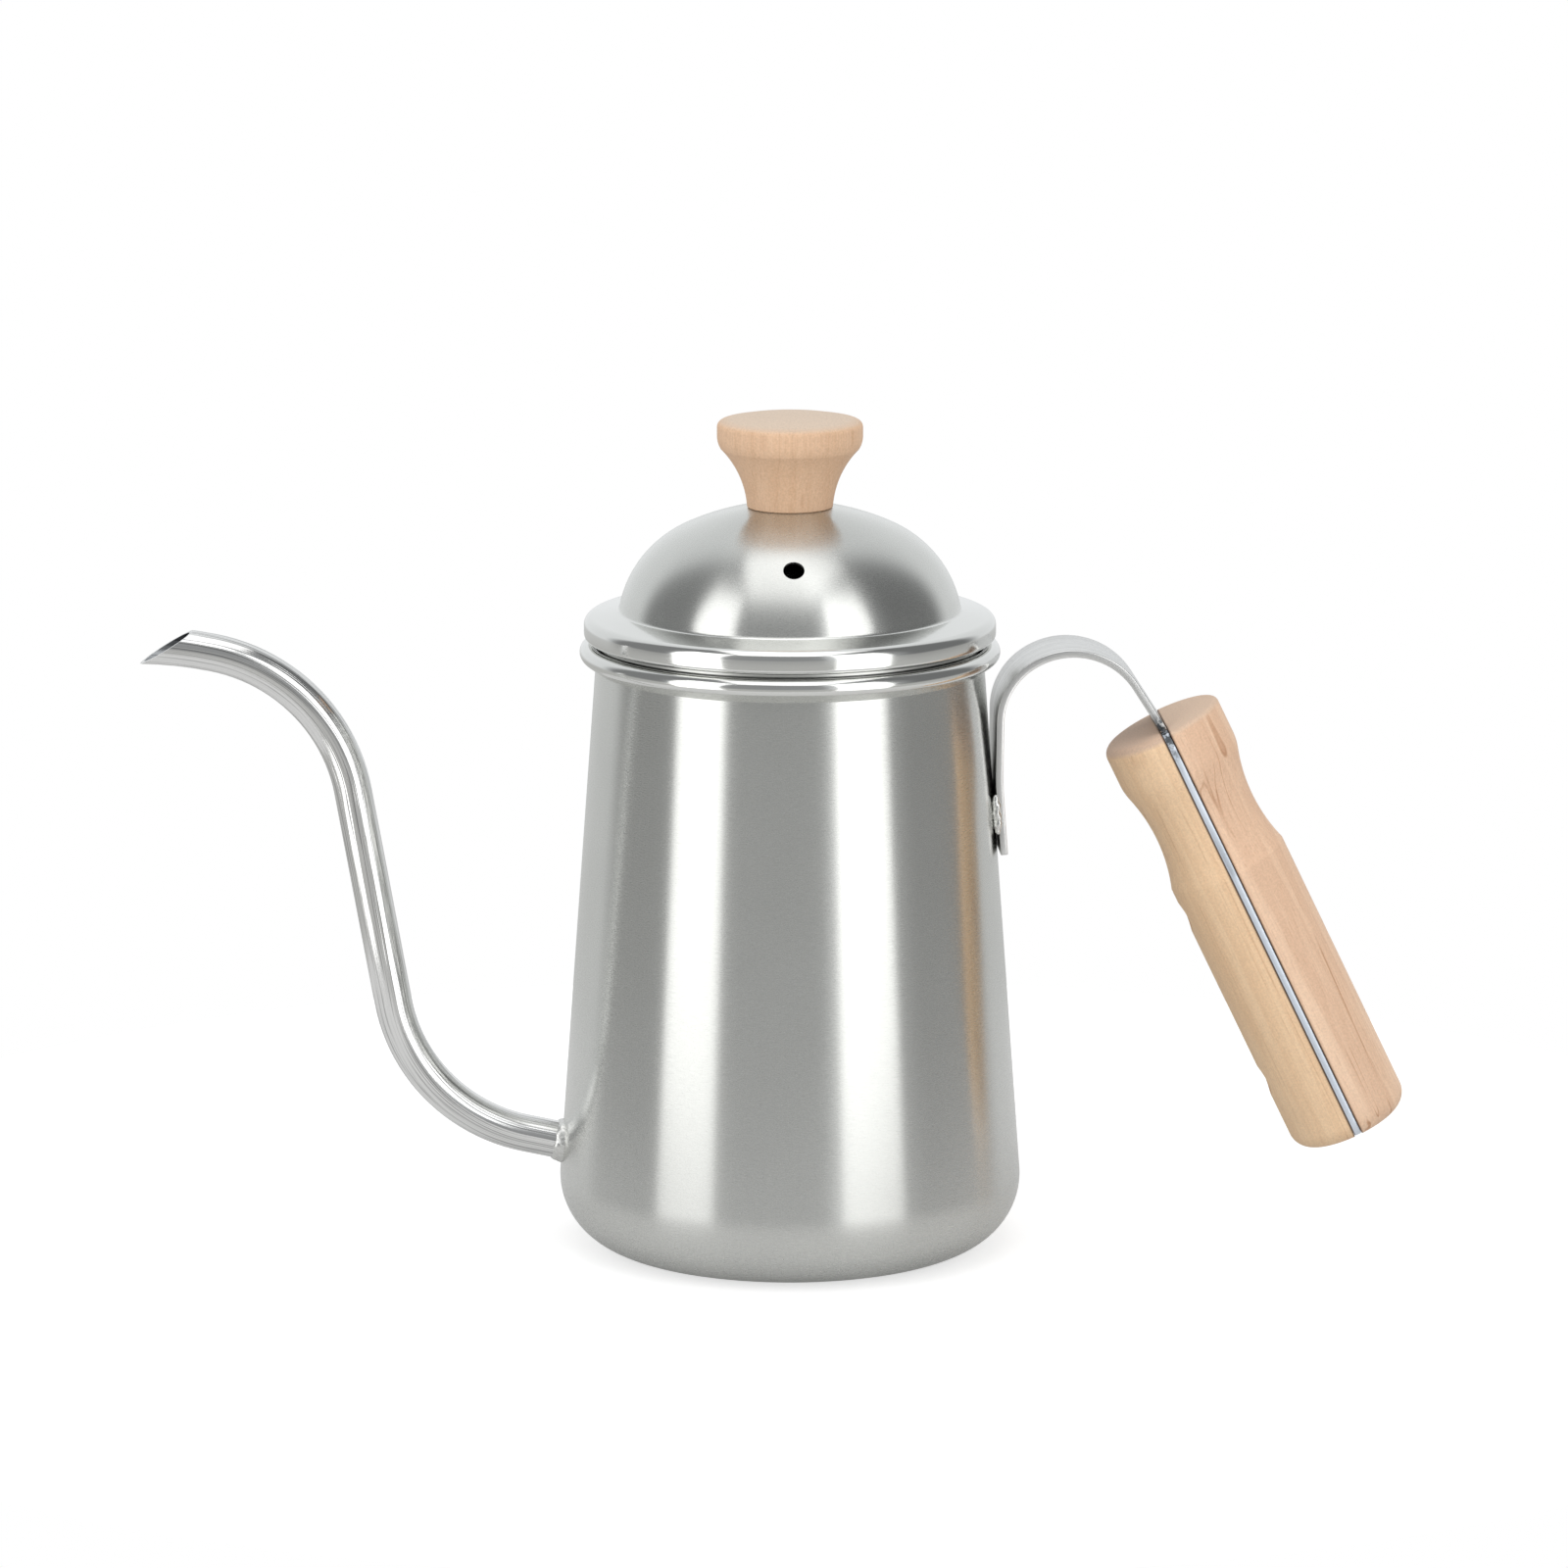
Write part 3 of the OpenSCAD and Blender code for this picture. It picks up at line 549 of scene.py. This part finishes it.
# --- Knob -----------------------------------------------------------------------------------------
# Turned from one piece of beech on the lathe and sanded: a flared stem under a rounded head. Its
# grain stands upright. A screw through the dome holds it on a threaded insert.
knob_foot = 8.7
knob_r = 14.85
flare_r = 19.0
flare_x = knob_foot + flare_r
flare_z = crown_z + crown_r - 1.9
flare_top = crown_z + crown_r + 11.1
flare_end = degrees(asin((flare_top - flare_z) / flare_r))
band_r = 5.0
band_turn = 35
band_x = knob_r - band_r
band_z = flare_top + band_r * sin(radians(band_turn))
head_z = band_z + 1.8
head_round = 1.3
head_top = head_z + head_round
insert_hole_r = 2.9
insert_hole_top = 8.0
knob_gap = 0.05
foot_z = crown_z + sqrt((crown_r + knob_gap) ** 2 - knob_foot ** 2)
flare_start = degrees(asin((foot_z + 0.2 - flare_z) / flare_r))
knob_outline = [(insert_hole_r, foot_z + 0.6), (knob_foot - 0.2, foot_z + 0.02)]
knob_outline += arc(flare_x, flare_z, flare_r, 180 - flare_start, 180 - flare_end, 16)
knob_outline += arc(band_x, band_z, band_r, -band_turn, 0, 8)[1:]
knob_outline += arc(knob_r - head_round, head_z, head_round, 0, 84, 8)
knob_outline += [(11, head_top + 0.5), (7, head_top + 0.78), (3, head_top + 0.89), (0, head_top + 0.9)]
knob_outline += [(0, foot_z + insert_hole_top), (insert_hole_r, foot_z + insert_hole_top)]
knob = piece("knob_turned", spun(knob_outline, steps=112), crease=13)
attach(knob, "lid")
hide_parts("knob")

# Beech: straight fibres along local Z, the flame of its growth rings, and the short brown flecks of its
# rays. The end grain has a tone of its own, and a line of painted shade can run beside a joint in the plane
# of X, where the gap lies in shade.
tree, given, result = group(
    "beech",
    [("Vector", "NodeSocketVector", None), ("Shift", "NodeSocketVector", None),
     ("Pale", "NodeSocketColor", (0.8, 0.6, 0.4, 1)), ("Deep", "NodeSocketColor", (0.7, 0.45, 0.28, 1)),
     ("End", "NodeSocketColor", (0.7, 0.5, 0.35, 1)), ("End Height", "NodeSocketFloat", 1.0),
     ("Joint", "NodeSocketFloat", -0.01), ("Banding", "NodeSocketFloat", 0.5), ("Flecks", "NodeSocketFloat", 0.5),
     ("Veins", "NodeSocketFloat", 0.5)],
    [("Color", "NodeSocketColor"), ("Height", "NodeSocketFloat"), ("Gloss", "NodeSocketFloat")])
log = add(tree, "ShaderNodeVectorMath", {"operation": "ADD"}, i0=given.outputs["Vector"],
          i1=given.outputs["Shift"])

# Fine fibres, growth rings and broader bands set how deep the tone is.
fibre_space = add(tree, "ShaderNodeMapping", Vector=log.outputs[0], Scale=(1.0, 1.0, 0.03))
fibres = add(tree, "ShaderNodeTexNoise", Vector=fibre_space.outputs[0], Scale=2600.0, Detail=3.0, Roughness=0.6)
fibre_tone = add(tree, "ShaderNodeMapRange", Value=fibres.outputs["Fac"], From_Min=0.3, From_Max=0.7)
ring_space = add(tree, "ShaderNodeMapping", Vector=log.outputs[0], Scale=(1.0, 0.75, 0.10))
rings = add(tree, "ShaderNodeTexWave", {"wave_type": "RINGS", "rings_direction": "Z", "wave_profile": "SAW"},
            Vector=ring_space.outputs[0], Scale=85.0, Distortion=5.0, Detail=2.0, Detail_Scale=1.6)
ring_tone = add(tree, "ShaderNodeMath", {"operation": "POWER"}, i0=rings.outputs["Fac"], i1=2.4)
band_space = add(tree, "ShaderNodeMapping", Vector=log.outputs[0], Scale=(1.0, 0.6, 0.07))
drift = add(tree, "ShaderNodeTexNoise", Vector=band_space.outputs[0], Scale=160.0, Detail=3.0, Distortion=0.6)
band_tone = add(tree, "ShaderNodeMapRange", Value=drift.outputs["Fac"], From_Min=0.35, From_Max=0.66)
both_tones = add(tree, "ShaderNodeMath", {"operation": "MULTIPLY_ADD"}, i0=ring_tone.outputs[0], i1=0.55,
                 i2=band_tone.outputs[0])
banded = add(tree, "ShaderNodeMath", {"operation": "MULTIPLY"}, i0=both_tones.outputs[0], i1=given.outputs["Banding"])
mixed = add(tree, "ShaderNodeMath", {"operation": "MULTIPLY_ADD"}, i0=fibre_tone.outputs[0], i1=0.5,
            i2=banded.outputs[0])
wood_tone = add(tree, "ShaderNodeMix", {"data_type": "RGBA"}, Factor=mixed.outputs[0], A=given.outputs["Pale"],
                B=given.outputs["Deep"])

# Ray flecks: short brown dashes along the fibres.
fleck_space = add(tree, "ShaderNodeMapping", Vector=log.outputs[0], Scale=(1.0, 1.0, 0.09))
fleck_noise = add(tree, "ShaderNodeTexVoronoi", {"feature": "F1"}, Vector=fleck_space.outputs[0], Scale=1500.0)
fleck_mask = add(tree, "ShaderNodeMapRange", Value=fleck_noise.outputs["Distance"], From_Min=0.10, From_Max=0.26,
                 To_Min=1.0, To_Max=0.0)
fleck_share = add(tree, "ShaderNodeMath", {"operation": "MULTIPLY"}, i0=fleck_mask.outputs[0],
                  i1=given.outputs["Flecks"])
fleck_tone = add(tree, "ShaderNodeMix", {"data_type": "RGBA", "blend_type": "MULTIPLY"},
                 Factor=fleck_share.outputs[0], A=wood_tone.outputs["Result"], B=(0.62, 0.45, 0.33, 1))

# Veins: long thin brown lines that come and go.
vein_space = add(tree, "ShaderNodeMapping", Vector=log.outputs[0], Scale=(1.0, 0.8, 0.02))
veins = add(tree, "ShaderNodeTexNoise", Vector=vein_space.outputs[0], Scale=190.0, Detail=1.5, Distortion=0.5)
beside_vein = add(tree, "ShaderNodeMath", {"operation": "SUBTRACT"}, i0=veins.outputs["Fac"], i1=0.56)
from_vein = add(tree, "ShaderNodeMath", {"operation": "ABSOLUTE"}, i0=beside_vein.outputs[0])
vein_line = add(tree, "ShaderNodeMapRange", Value=from_vein.outputs[0], From_Min=0.002, From_Max=0.016, To_Min=1.0,
                To_Max=0.0)
vein_reach = add(tree, "ShaderNodeTexNoise", Vector=log.outputs[0], Scale=75.0, Detail=1.0)
vein_part = add(tree, "ShaderNodeMapRange", Value=vein_reach.outputs["Fac"], From_Min=0.44, From_Max=0.58)
vein_mask = add(tree, "ShaderNodeMath", {"operation": "MULTIPLY"}, i0=vein_line.outputs[0], i1=vein_part.outputs[0])
vein_share = add(tree, "ShaderNodeMath", {"operation": "MULTIPLY"}, i0=vein_mask.outputs[0],
                 i1=given.outputs["Veins"])
vein_tone = add(tree, "ShaderNodeMix", {"data_type": "RGBA", "blend_type": "MULTIPLY"},
                Factor=vein_share.outputs[0], A=fleck_tone.outputs["Result"], B=(0.60, 0.42, 0.30, 1))

# Open pores.
pores = add(tree, "ShaderNodeTexNoise", Vector=given.outputs["Vector"], Scale=2400.0, Detail=2.0)
pore_shade = add(tree, "ShaderNodeMapRange", Value=pores.outputs["Fac"], From_Min=0.3, From_Max=0.7, To_Min=0.92,
                 To_Max=1.06)
grained = add(tree, "ShaderNodeMix", {"data_type": "RGBA", "blend_type": "MULTIPLY"}, Factor=1.0,
              A=vein_tone.outputs["Result"], B=pore_shade.outputs[0])

# End grain above the end height, and the painted shade line of the gap beside the joint.
grip_axes = add(tree, "ShaderNodeSeparateXYZ", i0=given.outputs["Vector"])
end_starts = add(tree, "ShaderNodeMath", {"operation": "SUBTRACT"}, i0=given.outputs["End Height"], i1=0.0009)
end_mask = add(tree, "ShaderNodeMapRange", Value=grip_axes.outputs["Z"], From_Min=end_starts.outputs[0],
               From_Max=given.outputs["End Height"])
end_tone = add(tree, "ShaderNodeMix", {"data_type": "RGBA", "blend_type": "MULTIPLY"}, Factor=0.35,
               A=given.outputs["End"], B=pores.outputs["Fac"])
ended = add(tree, "ShaderNodeMix", {"data_type": "RGBA"}, Factor=end_mask.outputs[0],
            A=grained.outputs["Result"], B=end_tone.outputs["Result"])

# Painted shade: a dark line where the gap beside the tang lies in shade.
from_joint = add(tree, "ShaderNodeMath", {"operation": "ABSOLUTE"}, i0=grip_axes.outputs["X"])
joint_ends = add(tree, "ShaderNodeMath", {"operation": "ADD"}, i0=given.outputs["Joint"], i1=0.0004)
gap_shade_mask = add(tree, "ShaderNodeMapRange", Value=from_joint.outputs[0], From_Min=given.outputs["Joint"],
                 From_Max=joint_ends.outputs[0], To_Min=1.0, To_Max=0.0)
gap_shaded = add(tree, "ShaderNodeMix", {"data_type": "RGBA", "blend_type": "MULTIPLY"},
              Factor=gap_shade_mask.outputs[0], A=ended.outputs["Result"], B=(0.16, 0.11, 0.08, 1))
tree.links.new(gap_shaded.outputs["Result"], result.inputs["Color"])
tree.links.new(fibres.outputs["Fac"], result.inputs["Height"])
gloss = add(tree, "ShaderNodeMapRange", Value=fibres.outputs["Fac"], From_Min=0.2, From_Max=0.8, To_Min=0.5,
            To_Max=0.68)
tree.links.new(gloss.outputs[0], result.inputs["Gloss"])
beech_wood = tree


def beech(name, pale, deep, end, end_height, shift, banding, turn=0.0, middle=(0, 0, 0), joint=-10.0, flecks=0.15,
          veins=0.2):
    """Sanded and oiled beech with its fibres turned by that many degrees about Y, round middle.

    Shift picks the part of the log, end_height is where the end grain shows, and joint is how far the
    plane of the joint's painted shade line lies from X zero. All are in millimetres.
    """
    material = bpy.data.materials.new(name)
    material.use_nodes = True
    tree = material.node_tree
    surface = tree.nodes["Principled BSDF"]
    coordinates = add(tree, "ShaderNodeTexCoord")
    placed = add(tree, "ShaderNodeMapping", {"vector_type": "TEXTURE"}, Vector=coordinates.outputs["Object"],
                 Location=[value * mm for value in middle], Rotation=(0, radians(turn), 0))
    wood = add(tree, "ShaderNodeGroup", {"node_tree": beech_wood}, Vector=placed.outputs[0],
               Shift=[value * mm for value in shift], Pale=(*pale, 1), Deep=(*deep, 1), End=(*end, 1),
               End_Height=end_height * mm, Joint=joint * mm, Banding=banding, Flecks=flecks, Veins=veins)
    tree.links.new(wood.outputs["Color"], surface.inputs["Base Color"])
    tree.links.new(wood.outputs["Gloss"], surface.inputs["Roughness"])
    relief = add(tree, "ShaderNodeBump", Strength=0.6, Distance=0.03 * mm, Height=wood.outputs["Height"])
    tree.links.new(relief.outputs["Normal"], surface.inputs["Normal"])
    return material


# The head's end grain is paler and greyer than its sides: partly the end grain's own tone, partly painted sheen of
# the overhead light.
knob.data.materials.append(beech("beech_knob", (0.77, 0.53, 0.355), (0.65, 0.41, 0.25), (0.86, 0.69, 0.54),
                                 end_height=head_z + 1.6, shift=(22, 9, 0), banding=0.35))


# --- Handle strap ---------------------------------------------------------------------------------
# One flat bar of stainless steel. Its lower end is welded to the wall under the rim, it arches over
# clear of the lid, and it ends as a full-width tang that shows as a bright line along the grip.
strap_t = 1.5
strap_w = 17.8
tab_z = 82.6
tab_gap = 0.1
strap_start = (wall_x(tab_z) + (tab_gap + strap_t / 2) / cos(radians(wall_lean)), tab_z, 90 + wall_lean)

# The tab, the turn to the upright leg, the leg, both halves of the arch, the neck and the turn to the
# grip, with a little more that the wood hides.
strap_runs = [(12.8, 0, 0), (0, -4.9, 50), (10.6, 0, 0), (0, -54, 13.9), (0, -92.6, 15.4), (9.3, 0, 0),
              (0, -7, 12), (1.5, 0, 0)]
bar = bmesh.new()
bmesh.ops.create_grid(bar, x_segments=1, y_segments=1, size=0.5)
bmesh.ops.scale(bar, vec=(strap_t, strap_w, 1), verts=bar.verts)
bmesh.ops.delete(bar, geom=list(bar.faces), context="FACES_ONLY")
around = bar.verts.layers.float_vector.new("around")
streak_scale = 2.0
for vert in bar.verts:
    vert[around] = vert.co / streak_scale
bmesh.ops.transform(bar, matrix=on_path(strap_start), verts=bar.verts)
swept(bar, list(bar.verts) + list(bar.edges), strap_start, strap_runs, step=2.5)

# Both ends of the bar are closed, and its edges are eased.
for at_tab in (True, False):
    loose = [edge for edge in bar.edges if edge.is_boundary and (edge.verts[0].co.z < tab_z + 1) == at_tab]
    bmesh.ops.contextual_create(bar, geom=loose)
bmesh.ops.recalc_face_normals(bar, faces=bar.faces)
square_edge = radians(60)
corners = [edge for edge in bar.edges if edge.calc_face_angle(0) > square_edge]
bmesh.ops.bevel(bar, geom=corners, offset=0.22, affect="EDGES", segments=3, profile=0.5, material=-1)
strap = piece("strap", bar)

grip_top = strap_start
for run in strap_runs[:-1]:
    grip_top = along(grip_top, run)
grip_lean = -90 - grip_top[2]
on_grip = Matrix.Translation((grip_top[0], 0, grip_top[1])) @ Matrix.Rotation(radians(grip_lean), 4, "Y")
grip_l = 94.8
grip_r = 12.6
collar_r = 12.85
end_round = 4.0
ridge_z = -33.4
waist_r = 10.875
waist_z = -21.9
waist_hollow = 36.0
waist_x = waist_r + waist_hollow
blend_r = 12.0
blend_z = waist_z + sqrt((waist_hollow + blend_r) ** 2 - (waist_x - collar_r + blend_r) ** 2)
blend_turn = degrees(asin((blend_z - waist_z) / (waist_hollow + blend_r)))
ridge_turn = degrees(asin(sqrt(waist_hollow ** 2 - (waist_x - grip_r) ** 2) / waist_hollow))


def grip_outline(inset=0.0, top_round=1.8):
    """Half the grip's section from the middle of its top to the middle of its end, moved in by inset."""
    points = [(0, -inset)]
    points += arc(collar_r - top_round, -top_round, top_round - inset, 90, 0, 8)
    points += [(collar_r - inset, z) for z in (-3, -5, -7)]
    points += arc(collar_r - blend_r, blend_z, blend_r - inset, 0, -blend_turn, 8)
    points += arc(waist_x, waist_z, waist_hollow + inset, 180 - blend_turn, 180 + ridge_turn, 24)[1:]
    points += [(grip_r - inset, z) for z in (ridge_z, -50, -70, -88)]
    points += arc(grip_r - end_round, end_round - grip_l, end_round - inset, 0, -90, 12)
    points += [(0, inset - grip_l)]
    return points


tang_inset = 0.15
tang_eased = 0.26
tang = bmesh.new()
half = grip_outline(tang_inset)[1:-1]
edge_points = half + [(-x, z) for x, z in reversed(half)]
rim = [tang.verts.new((-strap_t / 2, x, z)) for x, z in edge_points]
plate = tang.faces.new(rim)
lifted = bmesh.ops.extrude_face_region(tang, geom=[plate])
bmesh.ops.translate(tang, vec=(strap_t, 0, 0),
                    verts=[item for item in lifted["geom"] if isinstance(item, bmesh.types.BMVert)])
rims = [edge for edge in tang.edges if abs(abs(edge.verts[0].co.x) - strap_t / 2) < 0.01
        and abs(edge.verts[0].co.x - edge.verts[1].co.x) < 0.01]
bmesh.ops.bevel(tang, geom=rims, offset=tang_eased, affect="EDGES", segments=3, profile=0.5, material=-1)
bmesh.ops.recalc_face_normals(tang, faces=tang.faces)
tang_plate = piece("strap_tang", tang, on_grip)
for stretch in (strap, tang_plate):
    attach(stretch, "pot")
    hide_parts("handle_strap")
strap.data.materials.append(drawn_steel("strap_steel", (0.76, 0.76, 0.75), roughness=0.3, lines=0.4,
                                        streaks=round_the_tube, depth=0.05))
# The tang's steel is tinted pale blue: painted reflection of the cool light round it.
tang_metal = steel("tang_steel", (0.78, 0.84, 0.92), roughness=0.45, spread=0.08, stretch=0.0, grain_depth=0.002,
                   fineness=2500.0, length=40.0)
tang_plate.data.materials.append(tang_metal)

# The strap is painted dark and mottled where it enters the wood: painted shade of the gap there and painted
# reflection of the dark slot.
for metal in (strap.data.materials[0], tang_metal):
    tree = metal.node_tree
    surface = tree.nodes["Principled BSDF"]
    plain = surface.inputs["Base Color"].links[0].from_socket
    coordinates = add(tree, "ShaderNodeTexCoord")
    entry = add(tree, "ShaderNodeVectorMath", {"operation": "DISTANCE"}, i0=coordinates.outputs["Object"],
                i1=Vector((grip_top[0] + 0.9, -strap_w / 2, grip_top[1] - 1.5)) * mm)
    near = add(tree, "ShaderNodeMapRange", Value=entry.outputs["Value"], From_Min=0.0035, From_Max=0.0062,
               To_Min=1.0, To_Max=0.0)
    mottle = add(tree, "ShaderNodeTexNoise", Vector=coordinates.outputs["Object"], Scale=900.0, Detail=3.0)
    patch = add(tree, "ShaderNodeMapRange", Value=mottle.outputs["Fac"], From_Min=0.38, From_Max=0.53)
    # Painted shade and reflection, mottled, near the strap's entry into the wood.
    entry_shade = add(tree, "ShaderNodeMath", {"operation": "MULTIPLY"}, i0=near.outputs[0], i1=patch.outputs[0])
    painted_entry_shade = add(tree, "ShaderNodeMix", {"data_type": "RGBA"}, Factor=entry_shade.outputs[0], A=plain,
                B=(0.10, 0.11, 0.12, 1))
    tree.links.new(painted_entry_shade.outputs["Result"], surface.inputs["Base Color"])


# --- Grip -----------------------------------------------------------------------------------------
# Two scales of beech, turned together round the tang: a rounded collar, a hollow waist for finger
# and thumb, a crisp ridge and a straight barrel. Two screws draw them together from the pot's side.
wood_face = strap_t / 2 + 0.05


def grip_scale(name, side, top_round, break_edge):
    """Half of the turned grip, on the side of local X that side gives; break_edge eases its flat's rim."""
    shape = spun(grip_outline(top_round=top_round), closed=False, steps=96)
    bmesh.ops.bisect_plane(shape, geom=list(shape.verts) + list(shape.edges) + list(shape.faces), dist=1e-4,
                           plane_co=(side * wood_face, 0, 0), plane_no=(-side, 0, 0), clear_outer=True)
    bmesh.ops.holes_fill(shape, edges=[edge for edge in shape.edges if edge.is_boundary])
    flat = [edge for edge in shape.edges if edge.calc_face_angle(0) > square_edge]
    bmesh.ops.bevel(shape, geom=flat, offset=break_edge, affect="EDGES", segments=2, profile=0.5, material=-1)
    bmesh.ops.recalc_face_normals(shape, faces=shape.faces)
    scale = piece(name, shape, on_grip, crease=13)
    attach(scale, "pot")
    return scale


inner = grip_scale("grip_scale_inner", -1, top_round=2.2, break_edge=0.1)
outer = grip_scale("grip_scale_outer", 1, top_round=1.0, break_edge=0.22)
screw_at = 39.3
screw_pitch = 38.6
recess_r = 3.5
recess_floor = wood_face + 5.4
recess_l = 20.0
for depth in (screw_at, screw_at + screw_pitch):
    bore = bmesh.new()
    bmesh.ops.create_cone(bore, cap_ends=True, segments=48, radius1=recess_r, radius2=recess_r, depth=recess_l)
    bore_place = on_grip @ Matrix.Translation((-recess_floor - recess_l / 2, 0, -depth)) \
        @ Matrix.Rotation(radians(90), 4, "Y")
    carved(inner, piece("counterbore", bore, bore_place))
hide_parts("grip_inner_half")
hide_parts("grip_outer_half")
grip_at = (grip_top[0], 0, grip_top[1])
inner.data.materials.clear()
inner.data.materials.append(beech("beech_pale", (0.95, 0.71, 0.47), (0.84, 0.58, 0.36), (0.80, 0.57, 0.42),
                                  end_height=-0.9, shift=(-19, 13, 0), banding=0.65, turn=grip_lean,
                                  middle=grip_at, joint=0.82, flecks=0.15, veins=0.3))
outer.data.materials.append(beech("beech_pink", (0.91, 0.66, 0.47), (0.74, 0.49, 0.33), (0.82, 0.60, 0.44),
                                  end_height=-0.3, shift=(28, 15, 0), banding=0.7, turn=grip_lean,
                                  middle=grip_at, joint=0.85, flecks=0.22, veins=0.75))


# --- Welds ----------------------------------------------------------------------------------------
# The spout's root has a fillet weld all round, and a short rippled bead joins each edge of the strap's
# tab to the wall. Both are left as welded and brushed bright.
weld = spun([(3.8, 0.2), (4.55, 0.2), (4.55, 0.6), (4.5, 1.0), (4.42, 1.4), (4.36, 1.8), (4.22, 2.15), (4.05, 2.5),
             (3.82, 2.75)], closed=False, steps=120)
lump_share = 0.12
for vert in weld.verts:
    lump = noise.noise(vert.co * 1.1) * 0.3 + noise.noise(vert.co * 2.6) * 0.22 + 0.08 * sin(vert.co.z * 9)
    vert.co.xy *= 1 + max(lump, -0.3) * lump_share
    vert.co.z += noise.noise(vert.co * 0.5 + Vector((7, 3, 1))) * 0.5
bmesh.ops.recalc_face_normals(weld, faces=weld.faces)
spout_weld = piece("spout_root_weld", weld, on_path(along(spout_root, (-1.0, 0, 0))), crease=80)
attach(spout_weld, "pot")
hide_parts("spout_weld")

beads = bmesh.new()
tab_weld_l = 8.4
tab_weld_r = 0.95
tab_weld_at = 8.6
tab_weld_in = 0.98
tab_weld_gap = 0.05
ripple_l = 2.1
tab_middle = along(strap_start, (tab_weld_at, 0, 0))
for side in (-1, 1):
    bead = bmesh.ops.create_uvsphere(beads, u_segments=28, v_segments=72, radius=1)["verts"]
    for vert in bead:
        height = tab_weld_l / 2 * vert.co.z
        girth = (1 - abs(vert.co.z) ** 3) ** 0.5 / max(vert.co.xy.length, 0.001)
        lumps = 0.86 + 0.2 * abs(cos(pi * height / ripple_l)) \
            + 0.25 * noise.noise(Vector((side, height * 0.8, vert.co.x)))
        vert.co = Vector((tab_weld_r * vert.co.x * girth * lumps, vert.co.y * girth * lumps, height))
    bead_place = on_path(tab_middle) @ Matrix.Translation((-tab_weld_in, side * (strap_w / 2 + tab_weld_gap), 0))
    bmesh.ops.transform(beads, verts=bead, matrix=bead_place)
tab_welds = piece("tab_welds", beads, crease=80)
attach(tab_welds, "pot")
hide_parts("handle_welds")
weld_metal = steel("weld_steel", (0.76, 0.76, 0.74), roughness=0.3, spread=0.1, stretch=0.0, grain_depth=0.08,
                   fineness=1500.0, length=60.0)
spout_weld.data.materials.append(weld_metal)
tab_welds.data.materials.append(weld_metal)


# --- Fixings --------------------------------------------------------------------------------------
# Socket screws in the grip, a pan-head screw and its washer under the dome, all plain stainless, and
# brass inserts in the wood.
fixing_metal = steel("fixing_steel", (0.62, 0.62, 0.61), roughness=0.34, spread=0.05, stretch=0.0,
                     grain_depth=0.002, fineness=3000.0, length=30.0)
brass = steel("insert_brass", (0.72, 0.52, 0.24), roughness=0.34, spread=0.05, stretch=0.0, grain_depth=0.002,
              fineness=3000.0, length=30.0)
for name, metal in (("grip_screws", fixing_metal), ("knob_screw", fixing_metal), ("knob_washer", fixing_metal),
                    ("grip_inserts", brass), ("knob_insert", brass)):
    node[name].data.materials.clear()
    node[name].data.materials.append(metal)
